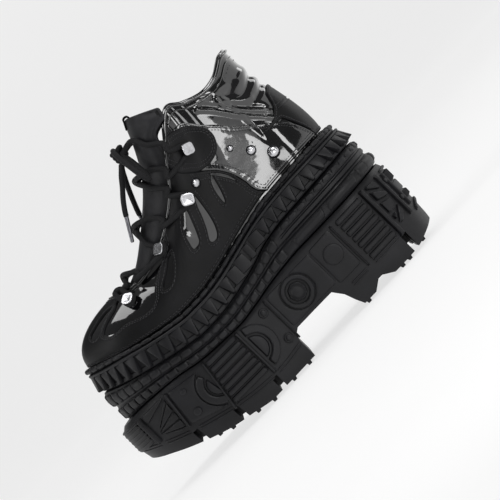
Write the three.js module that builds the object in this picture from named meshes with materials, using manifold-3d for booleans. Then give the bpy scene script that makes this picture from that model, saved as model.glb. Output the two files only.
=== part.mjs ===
// Platform boot, left shoe, empty and standing on its sole. Millimetres.
// +X runs to the toe, +Y to the outer (lateral) side, +Z up, floor at z = 0.
import * as THREE from 'three';
import { mergeVertices } from 'three/addons/utils/BufferGeometryUtils.js';
import Module from 'manifold-3d';

const wasm = await Module();
wasm.setup();

// ---- driving dimensions -------------------------------------------------
const weltLength = 278;
const weltHeelX = -144;
const ballWidth = 101;
const ankleWidth = 76;
const collarHeight = 219.5;
const instepFoot = 141;
const leatherWall = 2;
const fitGap = 0.3;
const layerGap = 0.5;
const toothPitch = 10.6;
const laceRadius = 2.0;
const waist = { front: -4, rear: -61, underside: 27.5 };
const samplesPerRow = 2;

// The last, a row for each section from heel tip to toe tip. along: share of the welt's length.
// lateral, medial: the welt's edge, shares of the ball width. inset: welt edge to upper.
// drift: how far the upper leans to the inner side. top*: the collar and throat edge, as
// shares of length, ankle width and collar height over the throat's foot.
// rise, flare: lower handle of the wall's curve. reach, dive: upper handle, length and degrees.
const lastRows = [
  { along: 0.000, lateral: 0.000, medial: 0.000, inset: 9.0, drift: -3.0,
    topAlong: 0.058, topHalf: 0.00, topLift: 1.000, rise: 34, flare: 5.5, reach: 48, dive: 92 },
  { along: 0.022, lateral: 0.218, medial: 0.218, inset: 9.5, drift: -3.0,
    topAlong: 0.067, topHalf: 0.18, topLift: 0.990, rise: 34, flare: 5.0, reach: 48, dive: 92 },
  { along: 0.061, lateral: 0.347, medial: 0.347, inset: 10.0, drift: -3.0,
    topAlong: 0.090, topHalf: 0.31, topLift: 0.970, rise: 33, flare: 3.0, reach: 46, dive: 94 },
  { along: 0.130, lateral: 0.450, medial: 0.446, inset: 10.5, drift: -3.0,
    topAlong: 0.140, topHalf: 0.43, topLift: 0.870, rise: 32, flare: 0.5, reach: 42, dive: 97 },
  { along: 0.216, lateral: 0.465, medial: 0.455, inset: 10.5, drift: -3.0,
    topAlong: 0.194, topHalf: 0.495, topLift: 0.852, rise: 32, flare: -0.5, reach: 40, dive: 100 },
  { along: 0.313, lateral: 0.455, medial: 0.416, inset: 9.0, drift: -1.5,
    topAlong: 0.250, topHalf: 0.53, topLift: 0.920, rise: 32, flare: 0.5, reach: 42, dive: 95 },
  { along: 0.417, lateral: 0.436, medial: 0.381, inset: 8.0, drift: -0.5,
    topAlong: 0.297, topHalf: 0.505, topLift: 1.000, rise: 30, flare: 2.0, reach: 42, dive: 92 },
  { along: 0.518, lateral: 0.450, medial: 0.391, inset: 7.5, drift: 0.5,
    topAlong: 0.366, topHalf: 0.60, topLift: 0.775, rise: 26, flare: 3.5, reach: 32, dive: 86 },
  { along: 0.619, lateral: 0.490, medial: 0.440, inset: 7.5, drift: 0.5,
    topAlong: 0.460, topHalf: 0.52, topLift: 0.375, rise: 22, flare: 3.5, reach: 22, dive: 68 },
  { along: 0.716, lateral: 0.500, medial: 0.490, inset: 7.0, drift: 0.0,
    topAlong: 0.576, topHalf: 0.39, topLift: 0.095, rise: 19, flare: 3.0, reach: 19, dive: 44 },
  { along: 0.806, lateral: 0.455, medial: 0.495, inset: 7.0, drift: -1.0,
    topAlong: 0.684, topHalf: 0.30, topLift: -0.010, rise: 17, flare: 3.0, reach: 18, dive: 24 },
  { along: 0.885, lateral: 0.356, medial: 0.446, inset: 6.5, drift: -2.0,
    topAlong: 0.748, topHalf: 0.215, topLift: 0.015, rise: 16, flare: 2.5, reach: 21, dive: 12 },
  { along: 0.946, lateral: 0.208, medial: 0.347, inset: 6.0, drift: -3.0,
    topAlong: 0.777, topHalf: 0.12, topLift: 0.050, rise: 16, flare: 1.5, reach: 26, dive: 5 },
  { along: 0.986, lateral: 0.060, medial: 0.218, inset: 6.0, drift: -3.5,
    topAlong: 0.788, topHalf: 0.045, topLift: 0.066, rise: 17, flare: 0.5, reach: 31, dive: 0 },
  { along: 1.000, lateral: -0.080, medial: 0.080, inset: 6.0, drift: -4.0,
    topAlong: 0.790, topHalf: 0.000, topLift: 0.070, rise: 17, flare: 0.0, reach: 32, dive: 0 },
];

// Heights along the sole, a row for each section: ground face, side line, ledge over the
// outsole, foot and top of the toothed rand, and top of the welt.
const soleRows = [
  { x: -152, tread: 10, line: 37, ledge: 70, randFoot: 97, randTop: 112, weltTop: 117 },
  { x: -135, tread: 4, line: 25, ledge: 70, randFoot: 97, randTop: 112, weltTop: 118.5 },
  { x: -116, tread: 0, line: 20, ledge: 69.5, randFoot: 96.5, randTop: 112, weltTop: 118.5 },
  { x: -80, tread: 0, line: 20, ledge: 69, randFoot: 95, randTop: 111.5, weltTop: 117 },
  { x: -60, tread: 0, line: 20, ledge: 69, randFoot: 94, randTop: 110, weltTop: 115.5 },
  { x: -40, tread: 0, line: 19.5, ledge: 68, randFoot: 91, randTop: 107, weltTop: 111.5 },
  { x: -20, tread: 0, line: 18.5, ledge: 66, randFoot: 85, randTop: 102.5, weltTop: 107 },
  { x: 0, tread: 0, line: 17, ledge: 63, randFoot: 80.5, randTop: 98, weltTop: 102.5 },
  { x: 20, tread: 0, line: 15, ledge: 61, randFoot: 77.5, randTop: 95.2, weltTop: 99.8 },
  { x: 40, tread: 0, line: 16, ledge: 62, randFoot: 77, randTop: 95, weltTop: 99.4 },
  { x: 60, tread: 3.8, line: 19, ledge: 64, randFoot: 80, randTop: 98, weltTop: 102 },
  { x: 80, tread: 8, line: 24, ledge: 68, randFoot: 84.5, randTop: 102.5, weltTop: 106.5 },
  { x: 100, tread: 15, line: 30, ledge: 70, randFoot: 89.5, randTop: 108, weltTop: 112 },
  { x: 120, tread: 25, line: 39, ledge: 70.5, randFoot: 95, randTop: 113, weltTop: 118 },
  { x: 135, tread: 34, line: 47, ledge: 69, randFoot: 100, randTop: 117, weltTop: 122 },
  { x: 150, tread: 50, line: 58, ledge: 66, randFoot: 104, randTop: 120, weltTop: 125 },
];

// How far each level of the sole stands out past the welt's edge, at toe, sides and heel.
const edge = {
  treadFace: { toe: 11.5, side: 4, heel: 2 },
  sideLine: { toe: 13.5, side: 5, heel: 3.5 },
  shoulder: { toe: 13, side: 5.5, heel: 4 },
  ledge: { toe: 9, side: 3.5, heel: 2.5 },
  bandFoot: { toe: 3, side: 2.5, heel: 2 },
  bulge: { toe: 5, side: 7, heel: 4 },
  bandTop: { toe: 0, side: 3.5, heel: 1.5 },
  randFoot: { toe: -0.5, side: 2.5, heel: 1 },
  randTooth: { toe: 4, side: 8, heel: 6 },
  randValley: { toe: -1, side: 2, heel: 0 },
  randTop: { toe: -1.5, side: 1.5, heel: -0.5 },
  welt: { toe: 0, side: 0, heel: 0 },
  weltRim: { toe: -1, side: -1, heel: -1 },
};

// The tongue, a row for each section up its length: its front line, half width, how deep
// the wings bend back, and the padding's thickness.
const tongueRows = [
  { x: 84, z: 140.0, half: 10, depth: 2.5, thick: 2.5, drift: -2.5 },
  { x: 64, z: 142.5, half: 15, depth: 5.5, thick: 3, drift: -1.8 },
  { x: 45, z: 150, half: 21, depth: 13, thick: 4, drift: -1 },
  { x: 20, z: 168, half: 30, depth: 24, thick: 5, drift: 0 },
  { x: 0, z: 185, half: 37, depth: 27, thick: 5.5, drift: 0.5 },
  { x: -13, z: 200, half: 40, depth: 26, thick: 5, drift: 0.5 },
  { x: -24, z: 219, half: 44, depth: 20, thick: 5, drift: 0 },
  { x: -29, z: 229, half: 47, depth: 31, thick: 5, drift: 0 },
  { x: -33, z: 236.5, half: 42, depth: 29, thick: 5, drift: 0 },
];

// Lace hooks on each side, by their height and place in side view, toe to collar.
const hookRows = [
  { x: 65, z: 133, tongueAt: 0.95 },
  { x: 18, z: 143, tongueAt: 2.5 },
  { x: -22.5, z: 158.5, tongueAt: 3.85 },
  { x: -48, z: 186, tongueAt: 5.4 },
];
const hook = { width: 10.6, length: 9.6, capThick: 1.2, throat: 4.6, base: 0.8, post: 1.8, stand: 0.9 };

const rivetRows = [
  { x: -36, z: 162, radius: 3.2 },
  { x: -74, z: 161, radius: 2.2 },
  { x: -84.5, z: 148.5, radius: 3.2 },
  { x: -96, z: 135, radius: 4.2 },
];

// ---- finishes -----------------------------------------------------------
function finish(color, roughness, metalness = 0) {
  return new THREE.MeshStandardMaterial({ color, roughness, metalness });
}
const finishes = {
  rubber: () => finish(0x17171a, 0.6),
  leather: () => finish(0x202022, 0.55),
  patent: () => finish(0x0d0d10, 0.15),
  lining: () => finish(0x1b1b1d, 0.9),
  lace: () => finish(0x1e1e21, 0.85),
  steel: () => finish(0xc8c8cc, 0.25, 1),
};

// ---- small tools --------------------------------------------------------
const rad = THREE.MathUtils.degToRad;
const smooth = THREE.MathUtils.smoothstep;

// Smooth value of one column at a place between rows, by cubic steps through the rows.
function column(rows, key, name, at) {
  const last = rows.length - 1;
  let i = rows.findIndex((row) => row[key] > at) - 1;
  if (at >= rows[last][key]) i = last - 1;
  i = Math.max(0, Math.min(last - 1, i));
  const slope = (a, b) => (rows[b][name] - rows[a][name]) / (rows[b][key] - rows[a][key]);
  const width = rows[i + 1][key] - rows[i][key];
  const here = slope(i, i + 1);
  const tame = (before, after) => (before * after <= 0 ? 0 : (before + after) / 2);
  const startSlope = i > 0 ? tame(slope(i - 1, i), here) : here;
  const endSlope = i + 2 <= last ? tame(here, slope(i + 1, i + 2)) : here;
  const t = THREE.MathUtils.clamp((at - rows[i][key]) / width, 0, 1);
  const rise = rows[i + 1][name] - rows[i][name];
  return rows[i][name] + rise * t * t * (3 - 2 * t)
    + startSlope * width * t * (1 - t) * (1 - t) - endSlope * width * t * t * (1 - t);
}
const soleHeight = (name, x) => column(soleRows, 'x', name, x);

// Closed geometry from rings of equal count. wrap joins the last ring to the first;
// otherwise both ends are closed by rungs across the ring.
function ringSolid(rings, wrap = false) {
  const count = rings[0].length;
  const positions = rings.flat().flatMap((p) => [p.x, p.y, p.z]);
  const faces = [];
  const quad = (a, b, c, d) => faces.push(a, b, c, a, c, d);
  const steps = wrap ? rings.length : rings.length - 1;
  for (let r = 0; r < steps; r += 1) {
    const low = r * count;
    const high = ((r + 1) % rings.length) * count;
    for (let i = 0; i < count; i += 1) {
      const j = (i + 1) % count;
      quad(low + i, low + j, high + j, high + i);
    }
  }
  if (!wrap) {
    for (const [base, flip] of [[0, true], [(rings.length - 1) * count, false]]) {
      for (let i = 0; i < count / 2; i += 1) {
        const corners = [i, i + 1, count - i - 1, (count - i) % count].map((k) => base + k);
        const ring = [...new Set(flip ? corners.reverse() : corners)];
        for (let k = 1; k + 1 < ring.length; k += 1) faces.push(ring[0], ring[k], ring[k + 1]);
      }
    }
  }
  const geometry = new THREE.BufferGeometry();
  geometry.setAttribute('position', new THREE.Float32BufferAttribute(positions, 3));
  geometry.setIndex(faces);
  return outward(geometry);
}

// Turns a closed geometry's faces to point out of it.
function outward(geometry) {
  const p = geometry.attributes.position;
  const index = geometry.index.array;
  const [a, b, c] = [new THREE.Vector3(), new THREE.Vector3(), new THREE.Vector3()];
  let volume = 0;
  for (let i = 0; i < index.length; i += 3) {
    a.fromBufferAttribute(p, index[i]);
    b.fromBufferAttribute(p, index[i + 1]);
    c.fromBufferAttribute(p, index[i + 2]);
    volume += a.dot(b.cross(c));
  }
  if (volume < 0) {
    for (let i = 0; i < index.length; i += 3) {
      [index[i], index[i + 1]] = [index[i + 1], index[i]];
    }
  }
  return geometry;
}

function toSolid(geometry) {
  const bare = geometry.clone();
  for (const name of Object.keys(bare.attributes)) {
    if (name !== 'position') bare.deleteAttribute(name);
  }
  const merged = outward(mergeVertices(bare, 1e-4));
  return new wasm.Manifold(new wasm.Mesh({
    numProp: 3,
    vertProperties: new Float32Array(merged.attributes.position.array),
    triVerts: new Uint32Array(merged.index.array),
  }));
}

function fromSolid(solid) {
  const mesh = solid.getMesh();
  const geometry = new THREE.BufferGeometry();
  geometry.setAttribute('position', new THREE.BufferAttribute(mesh.vertProperties, 3));
  geometry.setIndex(new THREE.BufferAttribute(mesh.triVerts, 1));
  return geometry;
}

const cutAll = (solid, tools) => tools.reduce((left, tool) => left.subtract(tool), solid);
const joinAll = (solids) => solids.reduce((left, more) => left.add(more));

const boot = new THREE.Group();
function addMesh(name, geometry, material) {
  const mesh = new THREE.Mesh(geometry, material);
  mesh.name = name;
  boot.add(mesh);
  return mesh;
}

// ---- plan outline -------------------------------------------------------
const weltX = (share) => weltHeelX + share * weltLength;

function outlineRow(row, side) {
  const half = side > 0 ? row.lateral : row.medial;
  return new THREE.Vector3(weltX(row.along), side * half * ballWidth, 0);
}
const lateralRows = lastRows.map((row) => ({ row, side: 1 }));
const medialRows = lastRows.slice(1, -1).reverse().map((row) => ({ row, side: -1 }));
const loopRows = [...lateralRows, ...medialRows];
const outline = new THREE.CatmullRomCurve3(
  loopRows.map(({ row, side }) => outlineRow(row, side)), true, 'catmullrom', 0.5);
const loopCount = loopRows.length * samplesPerRow;
const loopPlaces = Array.from({ length: loopCount }, (_, i) => i / loopCount);

// Outward direction in plan, from the outline's own run.
function outlineNormal(place) {
  const run = outline.getTangent(place);
  return new THREE.Vector3(-run.y, run.x, 0).normalize();
}

function edgeOffset(level, x) {
  const { toe, side, heel } = level;
  const toeShare = smooth(x, 88, 132);
  const heelShare = 1 - smooth(x, -142, -108);
  return side + (toe - side) * toeShare + (heel - side) * heelShare;
}

function edgePoint(place, level, height, lift = 0) {
  const onWelt = outline.getPoint(place);
  const point = onWelt.clone().addScaledVector(outlineNormal(place), edgeOffset(level, onWelt.x));
  point.z = (typeof height === 'number' ? height : soleHeight(height, point.x)) + lift;
  return point;
}
const edgeRing = (level, height, lift = 0, places = loopPlaces) =>
  places.map((place) => edgePoint(place, level, height, lift));

// ---- outsole ------------------------------------------------------------
// Prism from a side-view shape (x, z), running right through in Y.
function acrossPrism(points, width = 160) {
  const shape = new THREE.Shape(points.map(([x, z]) => new THREE.Vector2(x, z)));
  const prism = new THREE.ExtrudeGeometry(shape, { depth: width, bevelEnabled: false });
  prism.rotateX(Math.PI / 2);
  prism.translate(0, width / 2, 0);
  return toSolid(prism);
}

// Prism from a rear-view shape (y, z), running along X between two places.
function alongPrism(points, fromX, toX) {
  const shape = new THREE.Shape(points.map(([y, z]) => new THREE.Vector2(y, z)));
  const prism = new THREE.ExtrudeGeometry(shape, { depth: toX - fromX, bevelEnabled: false });
  prism.rotateX(Math.PI / 2);
  prism.rotateZ(Math.PI / 2);
  prism.translate(fromX, 0, 0);
  return toSolid(prism);
}

const below = -6;
const treadSlots = [
  { x: 100, width: 5, lean: 3 },
  { x: 66, width: 5, lean: 2 },
  { x: 30, width: 5, lean: 0 },
  { x: -119, width: 5.5, lean: 0 },
];

function waistCut() {
  const { front, rear, underside } = waist;
  return acrossPrism([
    [front, below], [front, 19], [front - 2, 24.5], [front - 6.5, underside],
    [rear + 13, underside], [rear + 7, 19], [rear + 4, 10], [rear, 1], [rear, below],
  ]);
}

function slotCut({ x, width, lean }) {
  const top = soleHeight('line', x) - 1;
  return acrossPrism([
    [x - width / 2, below], [x + width / 2, below],
    [x + width / 2 + lean, top], [x - width / 2 + lean, top],
  ]);
}

function outsole() {
  const block = toSolid(ringSolid([
    edgeRing(edge.treadFace, 'tread'),
    edgeRing(edge.sideLine, 'line'),
    edgeRing(edge.shoulder, 'ledge', -4),
    edgeRing(edge.ledge, 'ledge'),
  ]));
  const heelNotch = acrossPrism([[-95, below], [-95, 0], [-85, 7], [-81, 7], [-72, 0], [-72, below]]);
  const rearNotch = alongPrism([[-14.5, below], [14.5, below], [12.5, 0], [0, 18], [-12.5, 0]], -160, -101);
  return fromSolid(cutAll(block, [waistCut(), heelNotch, rearNotch, ...treadSlots.map(slotCut)]));
}
addMesh('outsole', outsole(), finishes.rubber());

// ---- midsole, rand and welt ---------------------------------------------
function midsole() {
  return ringSolid([
    edgeRing(edge.bandFoot, 'ledge', layerGap),
    edgeRing(edge.bulge, 'ledge', 5),
    edgeRing(edge.bulge, 'ledge', 11),
    edgeRing(edge.bandTop, 'randFoot', -4),
    edgeRing(edge.bandTop, 'randFoot', -layerGap),
  ]);
}
addMesh('midsole', midsole(), finishes.rubber());

// A tooth is flush at the rand's top and slopes out to a point near its foot.
function rand() {
  const teeth = Math.round(outline.getLength() / toothPitch);
  const places = Array.from({ length: teeth * 2 }, (_, i) => outline.getUtoTmapping(i / (teeth * 2)));
  const toothed = (height, lift) => places.map((place, i) => edgePoint(
    place, i % 2 ? edge.randValley : edge.randTooth, height, i % 2 ? lift + 1 : lift));
  return ringSolid([
    edgeRing(edge.randFoot, 'randFoot', 0, places),
    toothed('randFoot', 3.5),
    edgeRing(edge.randTop, 'randTop', -1.2, places),
    edgeRing(edge.randTop, 'randTop', 0, places),
  ]);
}
addMesh('rand', rand(), finishes.rubber());

const upperLoop = (name) => new THREE.CatmullRomCurve3(
  loopRows.map(({ row, side }) => name(row, side)), true, 'catmullrom', 0.5);
const footLoop = upperLoop((row) => new THREE.Vector3(row.inset, row.drift, row.rise));

// A point of the upper's foot in plan, moved in under the foot by so much.
function footPoint(place, inward) {
  const { x: inset, y: drift } = footLoop.getPoint(place);
  const point = outline.getPoint(place).addScaledVector(outlineNormal(place), -inset - inward);
  point.y += drift;
  return point;
}

function footRing(inward, height, lift) {
  return loopPlaces.map((place) => {
    const point = footPoint(place, inward);
    point.z = soleHeight(height, point.x) + lift;
    return point;
  });
}

const seatReach = leatherWall + 0.6;

function welt() {
  return ringSolid([
    edgeRing(edge.weltRim, 'randTop', layerGap),
    edgeRing(edge.welt, 'weltTop', -2.2),
    edgeRing(edge.weltRim, 'weltTop'),
    footRing(seatReach, 'weltTop', 0),
    footRing(seatReach, 'randTop', layerGap),
  ], true);
}
addMesh('welt', welt(), finishes.rubber());

function insole() {
  const reach = seatReach + 0.4;
  return ringSolid([footRing(reach, 'randTop', layerGap), footRing(reach, 'weltTop', 2)]);
}
addMesh('insole', insole(), finishes.lining());

// ---- upper --------------------------------------------------------------
const topLoop = upperLoop((row, side) => new THREE.Vector3(
  weltX(row.topAlong), side * row.topHalf * ankleWidth + row.drift,
  instepFoot + row.topLift * (collarHeight - instepFoot)));
const handleLoop = upperLoop((row) => new THREE.Vector3(row.flare, row.reach, row.dive));

// The upper's outer face: place runs round the shoe from the heel tip by the outer side,
// height runs from the welt (0) to the collar and throat edge (1).
function upperFace(place, height) {
  const at = ((place % 1) + 1) % 1;
  const rise = footLoop.getPoint(at).z;
  const [flare, reach, dive] = handleLoop.getPoint(at).toArray();
  const normal = outlineNormal(at);
  const foot = footPoint(at, 0);
  foot.z = soleHeight('weltTop', foot.x) + fitGap;
  const top = topLoop.getPoint(at);
  const across = new THREE.Vector3(foot.x - top.x, foot.y - top.y, 0).normalize();
  const lower = foot.clone().addScaledVector(normal, flare);
  lower.z += rise;
  const upper = top.clone().addScaledVector(across, reach * Math.cos(rad(dive)));
  upper.z -= reach * Math.sin(rad(dive));
  return new THREE.CubicBezierCurve3(foot, lower, upper, top).getPoint(height);
}

function upperNormal(place, height) {
  const step = 0.004;
  const low = Math.max(0, height - step);
  const high = Math.min(1, height + step);
  const round = upperFace(place + step, height).sub(upperFace(place - step, height));
  const up = upperFace(place, high).sub(upperFace(place, low));
  return up.cross(round).normalize();
}

function upperPoint(place, height, out) {
  return upperFace(place, height).addScaledVector(upperNormal(place, height), out);
}

const wallHeights = Array.from({ length: 11 }, (_, i) => i / 10);

function upper() {
  const ring = (height, out) => loopPlaces.map((place) => {
    const point = upperPoint(place, height, out);
    if (height === 0) point.z = soleHeight('weltTop', point.x) + fitGap;
    return point;
  });
  const outer = wallHeights.map((height) => ring(height, 0));
  const inner = [...wallHeights].reverse().map((height) => ring(height, -leatherWall));
  return ringSolid([...outer, ...inner], true);
}
addMesh('upper', upper(), finishes.leather());

// The place and height on the upper that side view shows at (x, z).
function findOnUpper(x, z, side) {
  const gap = (place, height) => {
    const p = upperFace(place, height);
    return (p.x - x) ** 2 + (p.z - z) ** 2;
  };
  let best = { place: 0.25, height: 0.5, miss: Infinity };
  for (let i = 2; i < 98; i += 1) {
    for (let j = 0; j <= 40; j += 1) {
      const place = side > 0 ? i / 200 : 1 - i / 200;
      const miss = gap(place, j / 40);
      if (miss < best.miss) best = { place, height: j / 40, miss };
    }
  }
  for (let step = 0.004; step > 0.0002; step /= 2) {
    for (const [dp, dh] of [[step, 0], [-step, 0], [0, step * 4], [0, -step * 4]]) {
      const height = THREE.MathUtils.clamp(best.height + dh, 0, 1);
      const miss = gap(best.place + dp, height);
      if (miss < best.miss) best = { place: best.place + dp, height, miss };
    }
  }
  return best;
}

// ---- heel counter -------------------------------------------------------
const counter = { thick: 1.5, halfSpan: 0.072, tabSpan: 0.026, sideHeight: 0.3, tabHeight: 0.545 };

// A proud patch cut from the upper's own face, with a taller tab at the heel's middle.
function heelCounter() {
  const steps = 16;
  const places = Array.from({ length: steps + 1 }, (_, i) => ((2 * i) / steps - 1) * counter.halfSpan);
  const topAt = (place) => {
    const tab = 1 - smooth(Math.abs(place), counter.tabSpan * 0.75, counter.tabSpan * 1.6);
    return counter.sideHeight + (counter.tabHeight - counter.sideHeight) * tab;
  };
  const strip = (share, out) => places.map((place) => upperPoint(place, 0.012 + share * topAt(place), out));
  const shares = [0, 0.2, 0.4, 0.6, 0.8, 1];
  const rings = shares.map((share) => [
    ...strip(share, fitGap), ...strip(share, fitGap + counter.thick).reverse(),
  ]);
  return ringSolid(rings);
}
addMesh('heel_counter', heelCounter(), finishes.leather());

// ---- tongue -------------------------------------------------------------
tongueRows.forEach((row, i) => { row.step = i; });
const tongueValue = (name, at) => column(tongueRows, 'step', name, at);
const tongueTop = tongueRows.length - 1;

function tonguePoint(at, angle, out = 0) {
  const [half, depth] = [tongueValue('half', at), tongueValue('depth', at)];
  const low = Math.max(0, at - 0.05);
  const high = Math.min(tongueTop, at + 0.05);
  const run = new THREE.Vector3(
    tongueValue('x', high) - tongueValue('x', low), 0, tongueValue('z', high) - tongueValue('z', low));
  run.normalize();
  const front = new THREE.Vector3(run.z, 0, -run.x);
  const phi = rad(angle);
  const back = depth * (1 - Math.cos(phi)) - out * Math.cos(phi);
  const point = new THREE.Vector3(tongueValue('x', at), 0, tongueValue('z', at));
  point.addScaledVector(front, -back);
  point.y = (half + out) * Math.sin(phi) + tongueValue('drift', at);
  return point;
}

const tongueAngles = Array.from({ length: 11 }, (_, i) => -90 + i * 18);

function tongue() {
  const rings = [];
  for (let at = 0; at <= tongueTop + 1e-6; at += 0.5) {
    const thick = tongueValue('thick', at);
    const outer = tongueAngles.map((angle) => tonguePoint(at, angle));
    const inner = tongueAngles.map((angle) => tonguePoint(at, angle, -thick)).reverse();
    rings.push([...outer, ...inner]);
  }
  return ringSolid(rings);
}
addMesh('tongue', tongue(), finishes.leather());

function pullLoop() {
  const [halfWidth, thick] = [10, 1.4];
  const stand = 0.4;
  const path = [[tongueTop - 0.9, stand], [tongueTop - 0.5, stand], [tongueTop - 0.15, stand]]
    .map(([at, out]) => tonguePoint(at, 0, out));
  const top = tonguePoint(tongueTop, 0, 0);
  const back = tongueRows[tongueTop].thick + 2.2;
  const run = [
    ...path,
    top.clone().add(new THREE.Vector3(1.0, 0, 2.2)),
    top.clone().add(new THREE.Vector3(-back / 2, 0, 3.4)),
    top.clone().add(new THREE.Vector3(-back - 0.6, 0, 0.6)),
    top.clone().add(new THREE.Vector3(-back + 2.6, 0, -8)),
  ];
  const rings = run.map((point, i) => {
    const ahead = run[Math.min(i + 1, run.length - 1)].clone().sub(run[Math.max(i - 1, 0)]).normalize();
    const out = new THREE.Vector3(ahead.z, 0, -ahead.x).multiplyScalar(thick);
    const corner = (side, share) => new THREE.Vector3(
      point.x + out.x * share, side * halfWidth, point.z + out.z * share);
    return [corner(-1, 0), corner(1, 0), corner(1, 1), corner(-1, 1)];
  });
  return ringSolid(rings);
}
addMesh('pull_loop', pullLoop(), finishes.lining());

// ---- lace hooks and rivets ----------------------------------------------
// Turns a piece built about the origin, +Z out, on to the upper at a spot.
function seatOnUpper(geometry, spot, stand) {
  const out = upperNormal(spot.place, spot.height);
  const up = upperFace(spot.place, Math.min(1, spot.height + 0.02))
    .sub(upperFace(spot.place, Math.max(0, spot.height - 0.02)));
  up.addScaledVector(out, -up.dot(out)).normalize();
  const across = up.clone().cross(out);
  const pose = new THREE.Matrix4().makeBasis(across, up, out);
  pose.setPosition(upperPoint(spot.place, spot.height, stand));
  return geometry.applyMatrix4(pose);
}

function roundedPlate(width, length, thick, radius) {
  const shape = new THREE.Shape();
  const [w, l] = [width / 2, length / 2];
  shape.moveTo(-w + radius, -l);
  shape.lineTo(w - radius, -l);
  shape.quadraticCurveTo(w, -l, w, -l + radius);
  shape.lineTo(w, l - radius);
  shape.quadraticCurveTo(w, l, w - radius, l);
  shape.lineTo(-w + radius, l);
  shape.quadraticCurveTo(-w, l, -w, l - radius);
  shape.lineTo(-w, -l + radius);
  shape.quadraticCurveTo(-w, -l, -w + radius, -l);
  return new THREE.ExtrudeGeometry(shape, { depth: thick, bevelEnabled: false, curveSegments: 2 });
}

function laceHook() {
  const { width, length, capThick, throat, base, post } = hook;
  const foot = roundedPlate(width * 0.6, length * 0.6, base, 2);
  const cap = roundedPlate(width, length, capThick, 3);
  cap.translate(0, 0, base + throat);
  const stem = new THREE.CylinderGeometry(post, post, throat + 0.6, 8);
  stem.rotateX(Math.PI / 2);
  stem.translate(0, 0, base + throat / 2);
  return fromSolid(joinAll([foot, cap, stem].map(toSolid)));
}

function rivet(radius) {
  const crown = [[0, 0], [radius, 0], [radius, 0.7], [radius * 0.72, 1.5], [0, 1.9]];
  const dome = new THREE.LatheGeometry(crown.map(([r, h]) => new THREE.Vector2(r, h)), 12);
  return fromSolid(toSolid(dome.rotateX(Math.PI / 2)));
}

const sides = [{ name: 'lateral', sign: 1 }, { name: 'medial', sign: -1 }];
const hookSpots = { lateral: [], medial: [] };
for (const { name, sign } of sides) {
  hookRows.forEach(({ x, z }, i) => {
    const spot = findOnUpper(x, z, sign);
    hookSpots[name].push(spot);
    addMesh(`lace_hook_${name}_${i + 1}`, seatOnUpper(laceHook(), spot, hook.stand), finishes.steel());
  });
  rivetRows.forEach(({ x, z, radius }, i) => {
    const spot = findOnUpper(x, z, sign);
    addMesh(`rivet_${name}_${i + 1}`, seatOnUpper(rivet(radius), spot, 0.3 + radius * 0.08), finishes.steel());
  });
}

// ---- laces --------------------------------------------------------------
// Strands over the tongue. from, to: side and hook. centre: where the strand crosses the
// tongue's middle, in rows. spread: angle where it leaves the tongue's flank. lift: clear
// height over the tongue at the middle, and rise the extra height on its flanks.
const strandRows = [
  { node: 'lace_cross_1', rise: 4.6, from: ['lateral', 1], to: ['medial', 1], centre: 0.85, spread: 72, lift: 8 },
  { node: 'lace_cross_1', rise: 4.6, from: ['lateral', 1], to: ['medial', 2], centre: 1.5, spread: 72, lift: 7 },
  { node: 'lace_cross_1', rise: 4.6, from: ['medial', 1], to: ['lateral', 2], centre: 1.5, spread: 72, lift: 7 },
  { node: 'lace_cross_2', rise: 0.3, from: ['lateral', 2], to: ['medial', 3], centre: 2.95, spread: 72, lift: 4 },
  { node: 'lace_cross_2', rise: 0.3, from: ['medial', 2], to: ['lateral', 3], centre: 2.95, spread: 72, lift: 4 },
  { node: 'lace_cross_3', rise: 0.3, from: ['lateral', 3], to: ['medial', 4], centre: 4.6, spread: 72, lift: 4 },
  { node: 'lace_cross_3', rise: 0.3, from: ['medial', 3], to: ['lateral', 4], centre: 4.6, spread: 72, lift: 4 },
  { node: 'lace_top', rise: 0.3, from: ['lateral', 4], to: ['medial', 4], centre: 6.1, spread: 86, lift: 4.5 },
];
const flankLift = laceRadius + 0.9;
const mouthReach = 8.4;

function tube(points, radius, sidesRound, steps) {
  const ring = Array.from({ length: sidesRound }, (_, i) => {
    const turn = (i / sidesRound) * Math.PI * 2;
    return new THREE.Vector2(radius * Math.cos(turn), radius * Math.sin(turn));
  });
  const path = new THREE.CatmullRomCurve3(points.map((p) => new THREE.Vector3(...p)));
  return new THREE.ExtrudeGeometry(new THREE.Shape(ring), {
    steps, extrudePath: path, bevelEnabled: false,
  });
}

// Two points that carry a strand over the throat's edge, near a point on the tongue.
function overRim(beside, side) {
  const places = Array.from({ length: 98 }, (_, i) => (i + 1) / 200);
  const gaps = places.map((place) => {
    const at = side === 'lateral' ? place : 1 - place;
    return { at, gap: upperFace(at, 1).distanceTo(beside) };
  });
  const { at } = gaps.reduce((best, next) => (next.gap < best.gap ? next : best));
  const edgeRun = upperFace(at, 1).sub(upperFace(at, 0.95)).normalize();
  const below = upperPoint(at, 0.95, flankLift + 2.7);
  const above = upperPoint(at, 1, 3).addScaledVector(edgeRun, laceRadius + 0.6);
  return [below, above];
}

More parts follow.
